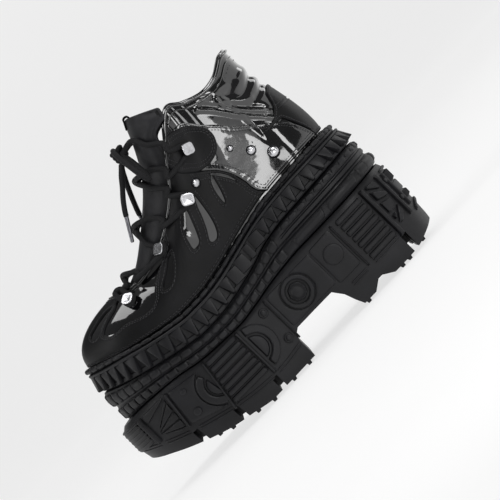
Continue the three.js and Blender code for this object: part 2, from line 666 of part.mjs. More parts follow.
// One strand, from under one hook's plate to another's; the stretch under each plate is
// left out, so that the strand stays clear of the posts.
function strand({ from, to, centre, spread, lift, rise }) {
  const flank = ([side, number], share) => {
    const sign = side === 'lateral' ? 1 : -1;
    const at = THREE.MathUtils.lerp(hookRows[number - 1].tongueAt, centre, 0.35 + 0.65 * (1 - share));
    return tonguePoint(at, sign * spread * share, THREE.MathUtils.lerp(lift, flankLift + rise, share));
  };
  const half = (end) => {
    const spot = hookSpots[end[0]][end[1] - 1];
    const root = upperPoint(spot.place, spot.height, hook.stand + hook.base + hook.throat / 2);
    const run = [0.86, 0.6, 0.3].map((share) => flank(end, share));
    return [root, ...overRim(run[0], end[0]), ...run];
  };
  const whole = new THREE.CatmullRomCurve3([
    ...half(from), tonguePoint(centre, 0, lift), ...half(to).reverse()]);
  const length = whole.getLength();
  const steps = 18;
  const points = Array.from({ length: steps + 1 }, (_, i) => whole.getPointAt(
    (mouthReach + (i / steps) * (length - 2 * mouthReach)) / length).toArray());
  return tube(points, laceRadius, 8, steps);
}

for (const node of new Set(strandRows.map((row) => row.node))) {
  const strands = strandRows.filter((row) => row.node === node).map((row) => toSolid(strand(row)));
  addMesh(node, fromSolid(joinAll(strands)), finishes.lace());
}

// The bow: knot, two loops and two ends, which lie free.
const knot = { x: -11, y: 0, z: 221.5, long: 6, wide: 7, tall: 6.5 };

function laceKnot() {
  const ball = new THREE.SphereGeometry(1, 12, 8);
  ball.scale(knot.long, knot.wide, knot.tall);
  ball.translate(knot.x, knot.y, knot.z);
  return fromSolid(toSolid(ball));
}
addMesh('lace_knot', laceKnot(), finishes.lace());

const bowRoutes = {
  lace_loop_lateral: [
    [-10, 8.5, 224], [-9.5, 18, 226], [-9, 32, 222], [-9.5, 46, 214], [-10.5, 56, 205],
    [-11.5, 60, 197], [-13, 56, 191], [-14, 46, 191], [-14.5, 34, 199], [-14, 20, 210], [-12.5, 9.5, 217.5],
  ],
  lace_loop_medial: [
    [-10, -8.5, 223], [-9.5, -20, 224], [-9, -34, 222], [-9.5, -50, 219], [-10.5, -63, 214],
    [-12, -70, 206], [-13.5, -66, 198], [-14, -54, 195.5], [-14.5, -40, 200], [-14, -24, 208], [-12.5, -10, 216],
  ],
  lace_end_lateral: [
    [-7, 6, 215], [-3.5, 9, 211.5], [1, 12, 207], [6, 14.5, 201], [12, 16, 194.5], [17.5, 16.5, 187.5], [21, 16.5, 182],
  ],
  lace_end_medial: [
    [-7, -6, 215], [-3.5, -11, 211], [0, -17, 205], [4, -22, 197.5], [8, -26, 189], [11.5, -29, 181], [13.5, -31, 175.5],
  ],
};
const aglet = { length: 20, radius: 1.7 };

for (const [name, route] of Object.entries(bowRoutes)) {
  const steps = name.includes('loop') ? 28 : 12;
  addMesh(name, fromSolid(toSolid(tube(route, laceRadius, 8, steps))), finishes.lace());
}

function agletAfter(route) {
  const [before, tip] = route.slice(-2).map((p) => new THREE.Vector3(...p));
  const along = tip.clone().sub(before).normalize();
  const sheath = new THREE.CylinderGeometry(aglet.radius * 0.8, aglet.radius, aglet.length, 8);
  sheath.applyQuaternion(new THREE.Quaternion().setFromUnitVectors(new THREE.Vector3(0, 1, 0), along));
  const middle = tip.addScaledVector(along, aglet.length / 2 + fitGap);
  return fromSolid(toSolid(sheath.translate(middle.x, middle.y, middle.z)));
}
addMesh('aglet_lateral', agletAfter(bowRoutes.lace_end_lateral), finishes.steel());
addMesh('aglet_medial', agletAfter(bowRoutes.lace_end_medial), finishes.steel());

export default boot;
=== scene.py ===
# Platform boot, left shoe, empty and standing on its sole.
# +X runs to the toe, +Y to the outer side, +Z up. Shapes are worked out in millimetres
# and become metres when a piece is finished.
import math

import bmesh
import bpy
import numpy as np
from mathutils import Matrix, Vector
from mathutils.geometry import delaunay_2d_cdt


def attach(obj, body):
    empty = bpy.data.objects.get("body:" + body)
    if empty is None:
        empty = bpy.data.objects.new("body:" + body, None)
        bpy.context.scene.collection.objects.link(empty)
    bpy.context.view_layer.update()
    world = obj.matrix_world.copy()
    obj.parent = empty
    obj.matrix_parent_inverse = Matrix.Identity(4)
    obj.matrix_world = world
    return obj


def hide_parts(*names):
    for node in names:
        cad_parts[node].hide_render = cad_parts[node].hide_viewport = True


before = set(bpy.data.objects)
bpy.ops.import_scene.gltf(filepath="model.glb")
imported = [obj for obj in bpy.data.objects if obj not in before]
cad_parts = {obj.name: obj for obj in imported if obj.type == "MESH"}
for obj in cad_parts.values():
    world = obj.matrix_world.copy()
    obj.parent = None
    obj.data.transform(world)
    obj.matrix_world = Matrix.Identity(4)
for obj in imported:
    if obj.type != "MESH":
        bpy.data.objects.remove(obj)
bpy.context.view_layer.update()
scene = bpy.context.scene
mm = 0.001
print("frame loaded:", len(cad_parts), "nodes")

# The last and the sole: the same tables as the part.
boot = {
    "weltLength": 278, "weltHeelX": -144, "ballWidth": 101, "ankleWidth": 76,
    "collarHeight": 219.5, "instepFoot": 141, "wall": 2.0, "fitGap": 0.3,
    "toothPitch": 10.6, "laceRadius": 2.2, "studDrop": 2.6,
}

lastColumns = "along lateral medial inset drift topAlong topHalf topLift rise flare reach dive".split()
lastRows = [
    (0.000, 0.000, 0.000, 9.0, -3.0, 0.058, 0.00, 1.000, 34, 5.5, 48, 92),
    (0.022, 0.218, 0.218, 9.5, -3.0, 0.067, 0.18, 0.990, 34, 5.0, 48, 92),
    (0.061, 0.347, 0.347, 10.0, -3.0, 0.090, 0.31, 0.970, 33, 3.0, 46, 94),
    (0.130, 0.450, 0.446, 10.5, -3.0, 0.140, 0.43, 0.870, 32, 0.5, 42, 97),
    (0.216, 0.465, 0.455, 10.5, -3.0, 0.194, 0.495, 0.852, 32, -0.5, 40, 100),
    (0.313, 0.455, 0.416, 9.0, -1.5, 0.250, 0.53, 0.920, 32, 0.5, 42, 95),
    (0.417, 0.436, 0.381, 8.0, -0.5, 0.297, 0.505, 1.000, 30, 2.0, 42, 92),
    (0.518, 0.450, 0.391, 7.5, 0.5, 0.366, 0.60, 0.775, 26, 3.5, 32, 86),
    (0.619, 0.490, 0.440, 7.5, 0.5, 0.460, 0.52, 0.375, 22, 3.5, 22, 68),
    (0.716, 0.500, 0.490, 7.0, 0.0, 0.576, 0.39, 0.095, 19, 3.0, 19, 44),
    (0.806, 0.455, 0.495, 7.0, -1.0, 0.684, 0.30, -0.010, 17, 3.0, 18, 24),
    (0.885, 0.356, 0.446, 6.5, -2.0, 0.748, 0.215, 0.015, 16, 2.5, 21, 12),
    (0.946, 0.208, 0.347, 6.0, -3.0, 0.777, 0.12, 0.050, 16, 1.5, 26, 5),
    (0.986, 0.060, 0.218, 6.0, -3.5, 0.788, 0.045, 0.066, 17, 0.5, 31, 0),
    (1.000, -0.080, 0.080, 6.0, -4.0, 0.790, 0.000, 0.070, 17, 0.0, 32, 0),
]
soleColumns = "x tread line ledge randFoot randTop weltTop".split()
soleRows = [
    (-152, 10, 37, 70, 97, 112, 117), (-135, 4, 25, 70, 97, 112, 118.5),
    (-116, 0, 20, 69.5, 96.5, 112, 118.5), (-80, 0, 20, 69, 95, 111.5, 117),
    (-60, 0, 20, 69, 94, 110, 115.5), (-40, 0, 19.5, 68, 91, 107, 111.5),
    (-20, 0, 18.5, 66, 85, 102.5, 107), (0, 0, 17, 63, 80.5, 98, 102.5),
    (20, 0, 15, 61, 77.5, 95.2, 99.8), (40, 0, 16, 62, 77, 95, 99.4),
    (60, 3.8, 19, 64, 80, 98, 102), (80, 8, 24, 68, 84.5, 102.5, 106.5),
    (100, 15, 30, 70, 89.5, 108, 112), (120, 25, 39, 70.5, 95, 113, 118),
    (135, 34, 47, 69, 100, 117, 122), (150, 50, 58, 66, 104, 120, 125),
]
# How far each level of the sole stands out past the welt's edge: toe, side, heel.
levelEdges = {
    "treadFace": (11.5, 4, 2), "sideLine": (13.5, 5, 3.5), "shoulder": (13, 5.5, 4),
    "ledge": (9, 3.5, 2.5), "weltRim": (-1, -1, -1), "randBase": (-1, 2, 0), "tooth": (4, 8, 6.5),
}
tongueColumns = "x z half depth thick drift".split()
tongueRows = [
    (84, 140.0, 10, 2.5, 2.5, -2.5), (64, 142.5, 15, 5.5, 3, -1.8), (45, 150, 21, 13, 4, -1),
    (20, 168, 30, 24, 5, 0), (0, 185, 37, 27, 5.5, 0.5), (-13, 200, 40, 26, 5, 0.5),
    (-24, 219, 44, 20, 5, 0), (-29, 229, 47, 31, 5, 0), (-33, 236.5, 42, 29, 5, 0),
]
sides = {"lateral": 1, "medial": -1}


# 0 below the low value, 1 above the high one and a smooth rise between them.
def smoothStep(value, low, high):
    t = np.clip((np.asarray(value, float) - low) / (high - low), 0, 1)
    return t * t * (3 - 2 * t)


# Smooth values of a table's columns between its rows, by cubic steps through the rows.
def columnTable(keys, values, at):
    keys, values, at = (np.asarray(a, float) for a in (keys, values, at))
    last = len(keys) - 1
    i = np.clip(np.searchsorted(keys, at, side="right") - 1, 0, last - 1)
    slopes = np.diff(values) / np.diff(keys)
    before, after = slopes[np.maximum(i - 1, 0)], slopes[np.minimum(i + 1, last - 1)]
    here = slopes[i]
    startSlope = np.where(i > 0, np.where(before * here <= 0, 0, (before + here) / 2), here)
    endSlope = np.where(i + 2 <= last, np.where(here * after <= 0, 0, (here + after) / 2), here)
    width = keys[i + 1] - keys[i]
    t = np.clip((at - keys[i]) / width, 0, 1)
    rise = values[i + 1] - values[i]
    return (values[i] + rise * t * t * (3 - 2 * t)
            + startSlope * width * t * (1 - t) ** 2 - endSlope * width * t * t * (1 - t))


# A smooth curve through points, at places counted from 0 to 1 round the loop.
def closedCurve(points, places):
    points = np.asarray(points, float)
    count = len(points)
    at = (np.asarray(places, float) % 1.0) * count
    i = np.floor(at).astype(int) % count
    f = (at - np.floor(at))[..., None]
    a, b, c, d = (points[(i + k) % count] for k in (-1, 0, 1, 2))
    return 0.5 * (2 * b + (c - a) * f + (2 * a - 5 * b + 4 * c - d) * f ** 2
                  + (3 * b - a - 3 * c + d) * f ** 3)


# The same through an open row of points, as a count of even steps.
def openCurve(points, count):
    points = np.asarray(points, float)
    padded = np.vstack([2 * points[0] - points[1], points, 2 * points[-1] - points[-2]])
    at = np.linspace(0, len(points) - 1, count)
    i = np.minimum(np.floor(at).astype(int), len(points) - 2)
    f = (at - i)[:, None]
    a, b, c, d = (padded[i + k] for k in range(4))
    return 0.5 * (2 * b + (c - a) * f + (2 * a - 5 * b + 4 * c - d) * f ** 2
                  + (3 * b - a - 3 * c + d) * f ** 3)


# Points spaced evenly along a line; a closed one doesn't repeat its first point.
def evenly(points, spacing, closed=False):
    points = np.asarray(points, float)
    run = np.vstack([points, points[:1]]) if closed else points
    arcs = np.concatenate([[0], np.cumsum(np.linalg.norm(np.diff(run, axis=0), axis=1))])
    count = max(3, int(round(arcs[-1] / spacing)))
    at = np.linspace(0, arcs[-1], count + 1)
    if closed:
        at = at[:-1]
    return np.stack([np.interp(at, arcs, run[:, k]) for k in range(run.shape[1])], axis=1)


def unit(vectors):
    return vectors / np.maximum(np.linalg.norm(vectors, axis=-1, keepdims=True), 1e-9)


# Which points lie inside a closed outline.
def insideRing(points, ring):
    x, y = points[:, :1], points[:, 1:2]
    a, b = ring, np.roll(ring, -1, axis=0)
    drop = b[:, 1] - a[:, 1]
    drop = np.where(np.abs(drop) < 1e-9, 1e-9, drop)
    crossing = (a[:, 1] > y) != (b[:, 1] > y)
    atX = a[:, 0] + (y - a[:, 1]) / drop * (b[:, 0] - a[:, 0])
    return (crossing & (x < atX)).sum(axis=1) % 2 == 1


# How far each point is from a line, worked out in batches to spare memory.
def lineDistance(points, line, closed=False):
    a = line if closed else line[:-1]
    b = np.roll(line, -1, axis=0) if closed else line[1:]
    run = b - a
    size = np.maximum((run ** 2).sum(axis=1), 1e-9)
    nearest = np.empty(len(points))
    batch = 2000
    for start in range(0, len(points), batch):
        p = points[start:start + batch, None, :] - a[None]
        t = np.clip((p * run).sum(axis=2) / size, 0, 1)
        nearest[start:start + batch] = np.sqrt(((p - t[..., None] * run) ** 2).sum(axis=2)).min(axis=1)
    return nearest


# Plan outline and heights of the sole.
rows = {name: np.array(values, float) for name, values in zip(lastColumns, zip(*lastRows))}
inner = slice(-2, 0, -1)     # the inner side's rows, back from toe tip to heel tip


def aroundLoop(lateral, medial):
    return np.concatenate([lateral, medial[inner]])


rimPoints = np.stack([
    aroundLoop(boot["weltHeelX"] + rows["along"] * boot["weltLength"],
               boot["weltHeelX"] + rows["along"] * boot["weltLength"]),
    aroundLoop(rows["lateral"], -rows["medial"]) * boot["ballWidth"],
], axis=1)
topX = boot["weltHeelX"] + rows["topAlong"] * boot["weltLength"]
topZ = boot["instepFoot"] + rows["topLift"] * (boot["collarHeight"] - boot["instepFoot"])
topHalf = rows["topHalf"] * boot["ankleWidth"]
upperLoops = np.stack([
    *(aroundLoop(rows[name], rows[name]) for name in "inset drift rise flare reach dive".split()),
    aroundLoop(topX, topX),
    aroundLoop(topHalf + rows["drift"], rows["drift"] - topHalf),
    aroundLoop(topZ, topZ),
], axis=1)

soleX = np.linspace(-165, 165, 1321)
soleTable = {
    name: columnTable([r[0] for r in soleRows], [r[k] for r in soleRows], soleX)
    for k, name in enumerate(soleColumns) if k
}


def soleHeight(name, x):
    return np.interp(x, soleX, soleTable[name])


def rimAt(place):
    place = np.asarray(place, float)
    point = closedCurve(rimPoints, place)
    step = 1e-4
    run = closedCurve(rimPoints, place + step) - closedCurve(rimPoints, place - step)
    return point, unit(np.stack([-run[..., 1], run[..., 0]], axis=-1))


def edgeOffset(level, x):
    toe, side, heel = levelEdges[level]
    toeShare = smoothStep(x, 88, 132)
    heelShare = 1 - smoothStep(x, -142, -108)
    return side + (toe - side) * toeShare + (heel - side) * heelShare


# The rim by its own length: arc 0 is the heel tip, growing along the outer side.
densePlaces = np.linspace(0, 1, 3001)
densePoint, denseNormal = rimAt(densePlaces)
denseArc = np.concatenate([[0], np.cumsum(np.linalg.norm(np.diff(densePoint, axis=0), axis=1))])
girth = denseArc[-1]
halfway = len(densePlaces) // 2


def rimByArc(arc):
    at = np.asarray(arc, float) % girth
    point = np.stack([np.interp(at, denseArc, densePoint[:, k]) for k in range(2)], axis=-1)
    normal = np.stack([np.interp(at, denseArc, denseNormal[:, k]) for k in range(2)], axis=-1)
    return point, unit(normal)


def arcAtX(x, side):
    if side > 0:
        return np.interp(x, densePoint[:halfway + 1, 0], denseArc[:halfway + 1])
    return np.interp(x, densePoint[halfway:, 0][::-1], denseArc[halfway:][::-1])


# A point on one storey of the sole. levels: (edge name, height name, lift) from low to high.
storeys = {
    "outsole": [("treadFace", "tread", boot["studDrop"]), ("sideLine", "line", 0),
                ("shoulder", "ledge", -4), ("ledge", "ledge", 0)],
    "rand": [("randBase", "randFoot", 0), ("randBase", "randTop", 0)],
}


def onStorey(name, arc, z, out):
    point, normal = rimByArc(arc)
    x = point[..., 0]
    z = np.broadcast_to(np.asarray(z, float), x.shape)
    levels = storeys[name]
    heights = [soleHeight(height, x) + lift for _, height, lift in levels]
    edges = [edgeOffset(edge, x) for edge, _, _ in levels]
    offset = edges[0].copy()
    for k in range(1, len(levels)):
        t = np.clip((z - heights[k - 1]) / np.maximum(heights[k] - heights[k - 1], 0.1), 0, 1)
        offset = np.where(z > heights[k - 1], edges[k - 1] + (edges[k] - edges[k - 1]) * t, offset)
    flat = point + normal * (offset + out)[..., None]
    return np.concatenate([flat, z[..., None]], axis=-1)


# The upper's outer face: a curved rise from the welt to the collar at each place round it.
def upperFace(place, height):
    place, height = np.broadcast_arrays(np.asarray(place, float) % 1.0, np.asarray(height, float))
    inset, drift, rise, flare, reach, dive, x, y, z = np.moveaxis(closedCurve(upperLoops, place), -1, 0)
    rim, normal = rimAt(place)
    foot = rim - normal * inset[..., None]
    foot[..., 1] += drift
    footZ = soleHeight("weltTop", foot[..., 0]) + boot["fitGap"]
    across = unit(foot - np.stack([x, y], axis=-1))
    dive = np.radians(dive)
    lower = foot + normal * flare[..., None]
    upper = np.stack([x, y], axis=-1) + across * (reach * np.cos(dive))[..., None]
    corners = [
        np.concatenate([foot, footZ[..., None]], axis=-1),
        np.concatenate([lower, (footZ + rise)[..., None]], axis=-1),
        np.concatenate([upper, (z - reach * np.sin(dive))[..., None]], axis=-1),
        np.stack([x, y, z], axis=-1),
    ]
    t = height[..., None]
    return (corners[0] * (1 - t) ** 3 + 3 * corners[1] * t * (1 - t) ** 2
            + 3 * corners[2] * t * t * (1 - t) + corners[3] * t ** 3)


def upperNormal(place, height):
    step = 0.004
    place, height = np.asarray(place, float), np.asarray(height, float)
    turned = upperFace(place + step, height) - upperFace(place - step, height)
    up = upperFace(place, np.minimum(height + step, 1)) - upperFace(place, np.maximum(height - step, 0))
    return unit(np.cross(up, turned))


def upperPoint(place, height, out):
    return upperFace(place, height) + upperNormal(place, height) * np.asarray(out, float)[..., None]


flatGirth = 640.0     # the upper laid flat: place and height as near millimetres
flatRise = 95.0


def onUpper(flat, out):
    return upperPoint(flat[:, 0] / flatGirth, np.clip(flat[:, 1] / flatRise, 0, 1), out)


seekPlaces, seekHeights = np.meshgrid(np.linspace(-0.5, 0.5, 801), np.linspace(0, 1, 161), indexing="ij")
seekFace = upperFace(seekPlaces, seekHeights)


# Where the upper shows a point of the side or back view, as flat coordinates.
def spotsOnUpper(points, view="side", side=1):
    ends, backReach, neighbours = 0.004, 0.16, 6
    axes = {"side": (0, 2), "back": (1, 2)}[view]
    keep = {
        "side": (seekPlaces * side > ends) & (seekPlaces * side < 0.5 - ends),
        "back": np.abs(seekPlaces) < backReach,
    }[view]
    face = seekFace[keep][:, axes]
    places, heights = seekPlaces[keep], seekHeights[keep]
    found = []
    for point in np.asarray(points, float):
        near = np.argsort(((face - point) ** 2).sum(axis=1))[:neighbours]
        weight = 1 / (((face[near] - point) ** 2).sum(axis=1) + 0.01)
        place = (places[near] * weight).sum() / weight.sum()
        found.append((place, (heights[near] * weight).sum() / weight.sum()))
    found = np.array(found)
    if view != "back":
        found[:, 0] %= 1.0
    return found * (flatGirth, flatRise)


# A closed smooth outline through a few points.
def smoothRing(points, spacing):
    ring = closedCurve(points, np.linspace(0, 1, 16 * len(points), endpoint=False))
    return evenly(ring, spacing, closed=True)


def ringNormals(ring):
    run = unit(np.roll(ring, -1, axis=0) - np.roll(ring, 1, axis=0))
    area = (ring[:, 0] * np.roll(ring[:, 1], -1) - np.roll(ring[:, 0], -1) * ring[:, 1]).sum()
    return np.stack([-run[:, 1], run[:, 0]], axis=1) * (1 if area > 0 else -1)   # inwards


# A raised patch on a surface: a closed slab with a rounded rim, from flat outlines.
def addPatch(bm, outer, surface, low, high, spacing=2.0, rounding=0.8, drop=None, holes=(), crown=None):
    drop = (high - low) * 0.7 if drop is None else drop
    rings = [evenly(r, spacing, closed=True) for r in (outer, *holes)]
    lowest, highest = rings[0].min(axis=0), rings[0].max(axis=0)
    gridX, gridY = np.meshgrid(np.arange(lowest[0], highest[0], spacing),
                               np.arange(lowest[1], highest[1], spacing * 0.87), indexing="ij")
    gridX = gridX + (np.arange(gridX.shape[1]) % 2) * spacing / 2
    inside = np.stack([gridX.ravel(), gridY.ravel()], axis=1)
    rimShares = (0.35, 1.0)     # where the rounded rim gets its own rows of points
    rims = [ring + ringNormals(ring) * rounding * share * (1 if k == 0 else -1)
            for k, ring in enumerate(rings) for share in rimShares]

    def covered(points):
        keep = insideRing(points, rings[0])
        for hole in rings[1:]:
            keep &= ~insideRing(points, hole)
        return keep

    def reach(points):
        return np.min([lineDistance(points, ring, closed=True) for ring in rings], axis=0)

    points = list(rings)
    for k, rim in enumerate(rims):
        share = rimShares[k % 2]
        points.append(rim[covered(rim) & (reach(rim) > rounding * share * 0.85)])
    inside = inside[covered(inside)]
    points.append(inside[reach(inside) > max(spacing * 0.55, rounding * 1.3)])
    edges, start = [], 0
    for ring in rings:
        count = len(ring)
        edges += [(start + k, start + (k + 1) % count) for k in range(count)]
        start += count
    flat = [Vector(p) for p in np.concatenate(points)]
    flat, _, triangles, *_ = delaunay_2d_cdt(flat, edges, [], 0, 1e-4)
    flat, triangles = np.array([p[:] for p in flat]), np.array(triangles)
    triangles = triangles[covered(flat[triangles].mean(axis=1))]
    away = reach(flat)
    t = np.clip(away / rounding, 0, 1)
    out = high - drop * (1 - np.sqrt(np.maximum(1 - (1 - t) ** 2, 0)))
    if crown is not None:
        out = out + crown(flat, away)
    under, over = surface(flat, np.full(len(flat), float(low))), surface(flat, out)
    order = bm.verts.layers.int.get("order") or bm.verts.layers.int.new("order")
    base = [bm.verts.new(p) for p in under]
    for k, vert in enumerate(base):
        vert[order] = k
    faces = [bm.faces.new([base[k] for k in triangle]) for triangle in triangles]
    loose = [v for v in base if not v.link_faces]
    made = bmesh.ops.extrude_face_region(bm, geom=faces, use_keep_orig=True)["geom"]
    for vert in (g for g in made if isinstance(g, bmesh.types.BMVert)):
        vert.co = over[vert[order]]
    bmesh.ops.delete(bm, geom=loose, context="VERTS")


# Closes the open ends of a strip.
def capEnds(bm):
    bmesh.ops.holes_fill(bm, edges=[e for e in bm.edges if e.is_boundary], sides=0)


# A grid whose u and v (0 to 1) are placed by a function; meeting edges are merged.
def addGrid(bm, columns, rowCount, shape, uvSize=(1, 1)):
    uvLayer = bm.loops.layers.uv.verify()
    made = bmesh.ops.create_grid(bm, x_segments=columns, y_segments=rowCount, size=1, calc_uvs=True)["verts"]
    flat = np.array([v.co[:2] for v in made]) * 0.5 + 0.5
    for face in {f for v in made for f in v.link_faces}:
        for loop in face.loops:
            u, v = loop.vert.co[:2]
            loop[uvLayer].uv = ((u * 0.5 + 0.5) * uvSize[0], (v * 0.5 + 0.5) * uvSize[1])
    for vert, point in zip(made, shape(flat[:, 0], flat[:, 1])):
        vert.co = point
    bmesh.ops.remove_doubles(bm, verts=made, dist=2e-3)


# Two directions across a path at each of its points, carried along without a twist.
def pathFrames(path, closed=False):
    if closed:
        run = unit(np.roll(path, -1, axis=0) - np.roll(path, 1, axis=0))
    else:
        run = unit(np.gradient(path, axis=0))
    normal = np.zeros_like(run)
    start = np.cross(run[0], (0.0, 0.3, 1.0))
    normal[0] = start / np.linalg.norm(start)
    for k in range(1, len(path)):
        turned = normal[k - 1] - run[k] * np.dot(normal[k - 1], run[k])
        normal[k] = turned / np.linalg.norm(turned)
    return normal, np.cross(run, normal)


# A round tube along a path, with rounded ends unless it is closed.
def addTube(bm, path, radius, around=12, closed=False, spacing=0.8):
    path = evenly(path, spacing, closed=closed)
    normal, binormal = pathFrames(path, closed)
    count = len(path)
    length = np.linalg.norm(np.diff(path, axis=0), axis=1).sum()
    if closed:
        path, normal, binormal = (np.vstack([a, a[:1]]) for a in (path, normal, binormal))
        count += 1

    def shape(u, v):
        k = np.clip(np.round(u * (count - 1)).astype(int), 0, count - 1)
        turn = v * 2 * math.pi
        size = np.full(len(u), float(radius))
        if not closed:
            away = np.minimum(u, 1 - u) * length
            size = radius * np.sqrt(np.clip(1 - (1 - np.clip(away / radius, 0.02, 1)) ** 2, 0, 1))
        ring = np.cos(turn)[:, None] * normal[k] + np.sin(turn)[:, None] * binormal[k]
        return path[k] + ring * size[:, None]

    before = set(bm.verts)
    addGrid(bm, count - 1, around, shape, (length, 2 * math.pi * radius))
    if not closed:
        edges = [e for e in bm.edges if e.is_boundary and e.verts[0] not in before]
        bmesh.ops.holes_fill(bm, edges=edges, sides=0)


# A profile of radius and height spun round Z.
def addSpun(bm, profile, steps):
    verts = [bm.verts.new((r, 0, z)) for r, z in profile]
    edges = [bm.edges.new(pair) for pair in zip(verts, verts[1:])]
    before = set(bm.verts) - set(verts)
    bmesh.ops.spin(bm, geom=verts + edges, cent=(0, 0, 0), axis=(0, 0, 1), angle=2 * math.pi,
                   steps=steps, use_merge=True)
    bmesh.ops.remove_doubles(bm, verts=[v for v in bm.verts if v not in before], dist=1e-3)


# Turns every face outwards.
def cleanShells(bm):
    bmesh.ops.recalc_face_normals(bm, faces=bm.faces[:])


# An object that isn't a piece of the boot: the studio's paper or a carving tool.
def looseObject(bm, name):
    cleanShells(bm)
    mesh = bpy.data.meshes.new(name)
    bm.to_mesh(mesh)
    bm.free()
    loose = bpy.data.objects.new(name, mesh)
    scene.collection.objects.link(loose)
    return loose


# Scales to metres, makes the object, puts it under the frame's root body and hides the frame nodes it stands
# for.
def finishPiece(name, bm, materials, nodes=(), sharp=35):
    cleanShells(bm)
    bmesh.ops.scale(bm, vec=(mm, mm, mm), verts=bm.verts[:])
    mesh = bpy.data.meshes.new(name)
    bm.to_mesh(mesh)
    bm.free()
    for material in materials:
        mesh.materials.append(material)
    mesh.shade_smooth()
    mesh.set_sharp_from_angle(angle=math.radians(sharp))
    piece = bpy.data.objects.new(name, mesh)
    scene.collection.objects.link(piece)
    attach(piece, "root")
    if nodes:
        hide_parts(*nodes)
    return piece


# One small closed shape repeated at many places, joined as one mesh.
def repeatedShape(proto, frames):
    points = np.array([v.co[:] for v in proto.verts])
    proto.verts.index_update()
    faces = [[v.index for v in f.verts] for f in proto.faces]
    bm = bmesh.new()
    for origin, axes in frames:
        verts = [bm.verts.new(p) for p in points @ np.asarray(axes) + origin]
        for face in faces:
            bm.faces.new([verts[k] for k in face])
    return bm


# An sRGB hex value as a linear colour.
def linear(hexColour):
    value = hexColour.lstrip("#")
    parts = [int(value[k:k + 2], 16) / 255 for k in (0, 2, 4)]
    return tuple(c / 12.92 if c <= 0.04045 else ((c + 0.055) / 1.055) ** 2.4 for c in parts) + (1.0,)


def addNode(material, kind, links=None, **settings):
    node = material.node_tree.nodes.new(kind)
    for name, value in settings.items():
        setattr(node, name, value)
    for name, value in (links or {}).items():
        socket = node.inputs[name]
        if isinstance(value, bpy.types.NodeSocket):
            material.node_tree.links.new(value, socket)
        else:
            socket.default_value = value
    return node


# An empty node material.
def newMaterial(name):
    material = bpy.data.materials.new(name)
    material.use_nodes = True
    material.node_tree.nodes.clear()
    return material


# Colour ramp between two colours by a factor socket.
def blendColours(material, factor, dark, light, low=0.35, high=0.65):
    ramp = addNode(material, "ShaderNodeValToRGB", {"Fac": factor})
    ramp.color_ramp.elements[0].position = low
    ramp.color_ramp.elements[0].color = linear(dark)
    ramp.color_ramp.elements[1].position = high
    ramp.color_ramp.elements[1].color = linear(light)
    return ramp.outputs["Color"]


def closeMaterial(material, shaderLinks):
    shader = addNode(material, "ShaderNodeBsdfPrincipled", shaderLinks)
    addNode(material, "ShaderNodeOutputMaterial", {"Surface": shader.outputs["BSDF"]})
    return material


# Moulded rubber: dull black with a fine orange-peel skin and a little bloom and dust.
def mouldedRubber():
    m = newMaterial("moulded_rubber")
    place = addNode(m, "ShaderNodeTexCoord").outputs["Object"]
    bloom = addNode(m, "ShaderNodeTexNoise", {
        "Vector": place, "Scale": 38.0, "Detail": 6.0, "Roughness": 0.6})
    skin = addNode(m, "ShaderNodeTexNoise", {"Vector": place, "Scale": 2200.0, "Detail": 3.0})
    scuff = addNode(m, "ShaderNodeTexNoise", {
        "Vector": place, "Scale": 420.0, "Detail": 4.0, "Distortion": 0.8})
    colour = blendColours(m, bloom.outputs["Fac"], "#0f0f11", "#17171a")
    rough = addNode(m, "ShaderNodeMapRange", {
        "Value": scuff.outputs["Fac"], "To Min": 0.40, "To Max": 0.58})
    skinBump = addNode(m, "ShaderNodeBump", {
        "Height": skin.outputs["Fac"], "Strength": 0.25, "Distance": 0.00012})
    bump = addNode(m, "ShaderNodeBump", {
        "Height": bloom.outputs["Fac"], "Strength": 0.25, "Distance": 0.0005,
        "Normal": skinBump.outputs["Normal"]})
    return closeMaterial(m, {"Base Color": colour, "Roughness": rough.outputs["Result"], "IOR": 1.5,
                             "Specular IOR Level": 0.3, "Normal": bump.outputs["Normal"]})


# Full-grain leather, aniline black with a matte wax finish: pebbled grain near 0.7 mm,
# drawn a little coarse so that it shows.
def matteLeather():
    m = newMaterial("full_grain_leather_waxed")
    place = addNode(m, "ShaderNodeTexCoord").outputs["Object"]
    grain = addNode(m, "ShaderNodeTexVoronoi", {"Vector": place, "Scale": 1150.0}, feature="F1")
    pores = addNode(m, "ShaderNodeTexNoise", {"Vector": place, "Scale": 700.0, "Detail": 5.0})
    tone = addNode(m, "ShaderNodeTexNoise", {"Vector": place, "Scale": 45.0, "Detail": 4.0})
    colour = blendColours(m, tone.outputs["Fac"], "#0a0a0b", "#111113")
    rough = addNode(m, "ShaderNodeMapRange", {
        "Value": tone.outputs["Fac"], "To Min": 0.40, "To Max": 0.52})
    fine = addNode(m, "ShaderNodeBump", {
        "Height": grain.outputs["Distance"], "Strength": 0.35, "Distance": 0.0002})
    bump = addNode(m, "ShaderNodeBump", {
        "Height": pores.outputs["Fac"], "Strength": 0.3, "Distance": 0.0003,
        "Normal": fine.outputs["Normal"]})
    return closeMaterial(m, {"Base Color": colour, "Roughness": rough.outputs["Result"], "IOR": 1.5,
                             "Specular IOR Level": 0.2, "Normal": bump.outputs["Normal"]})


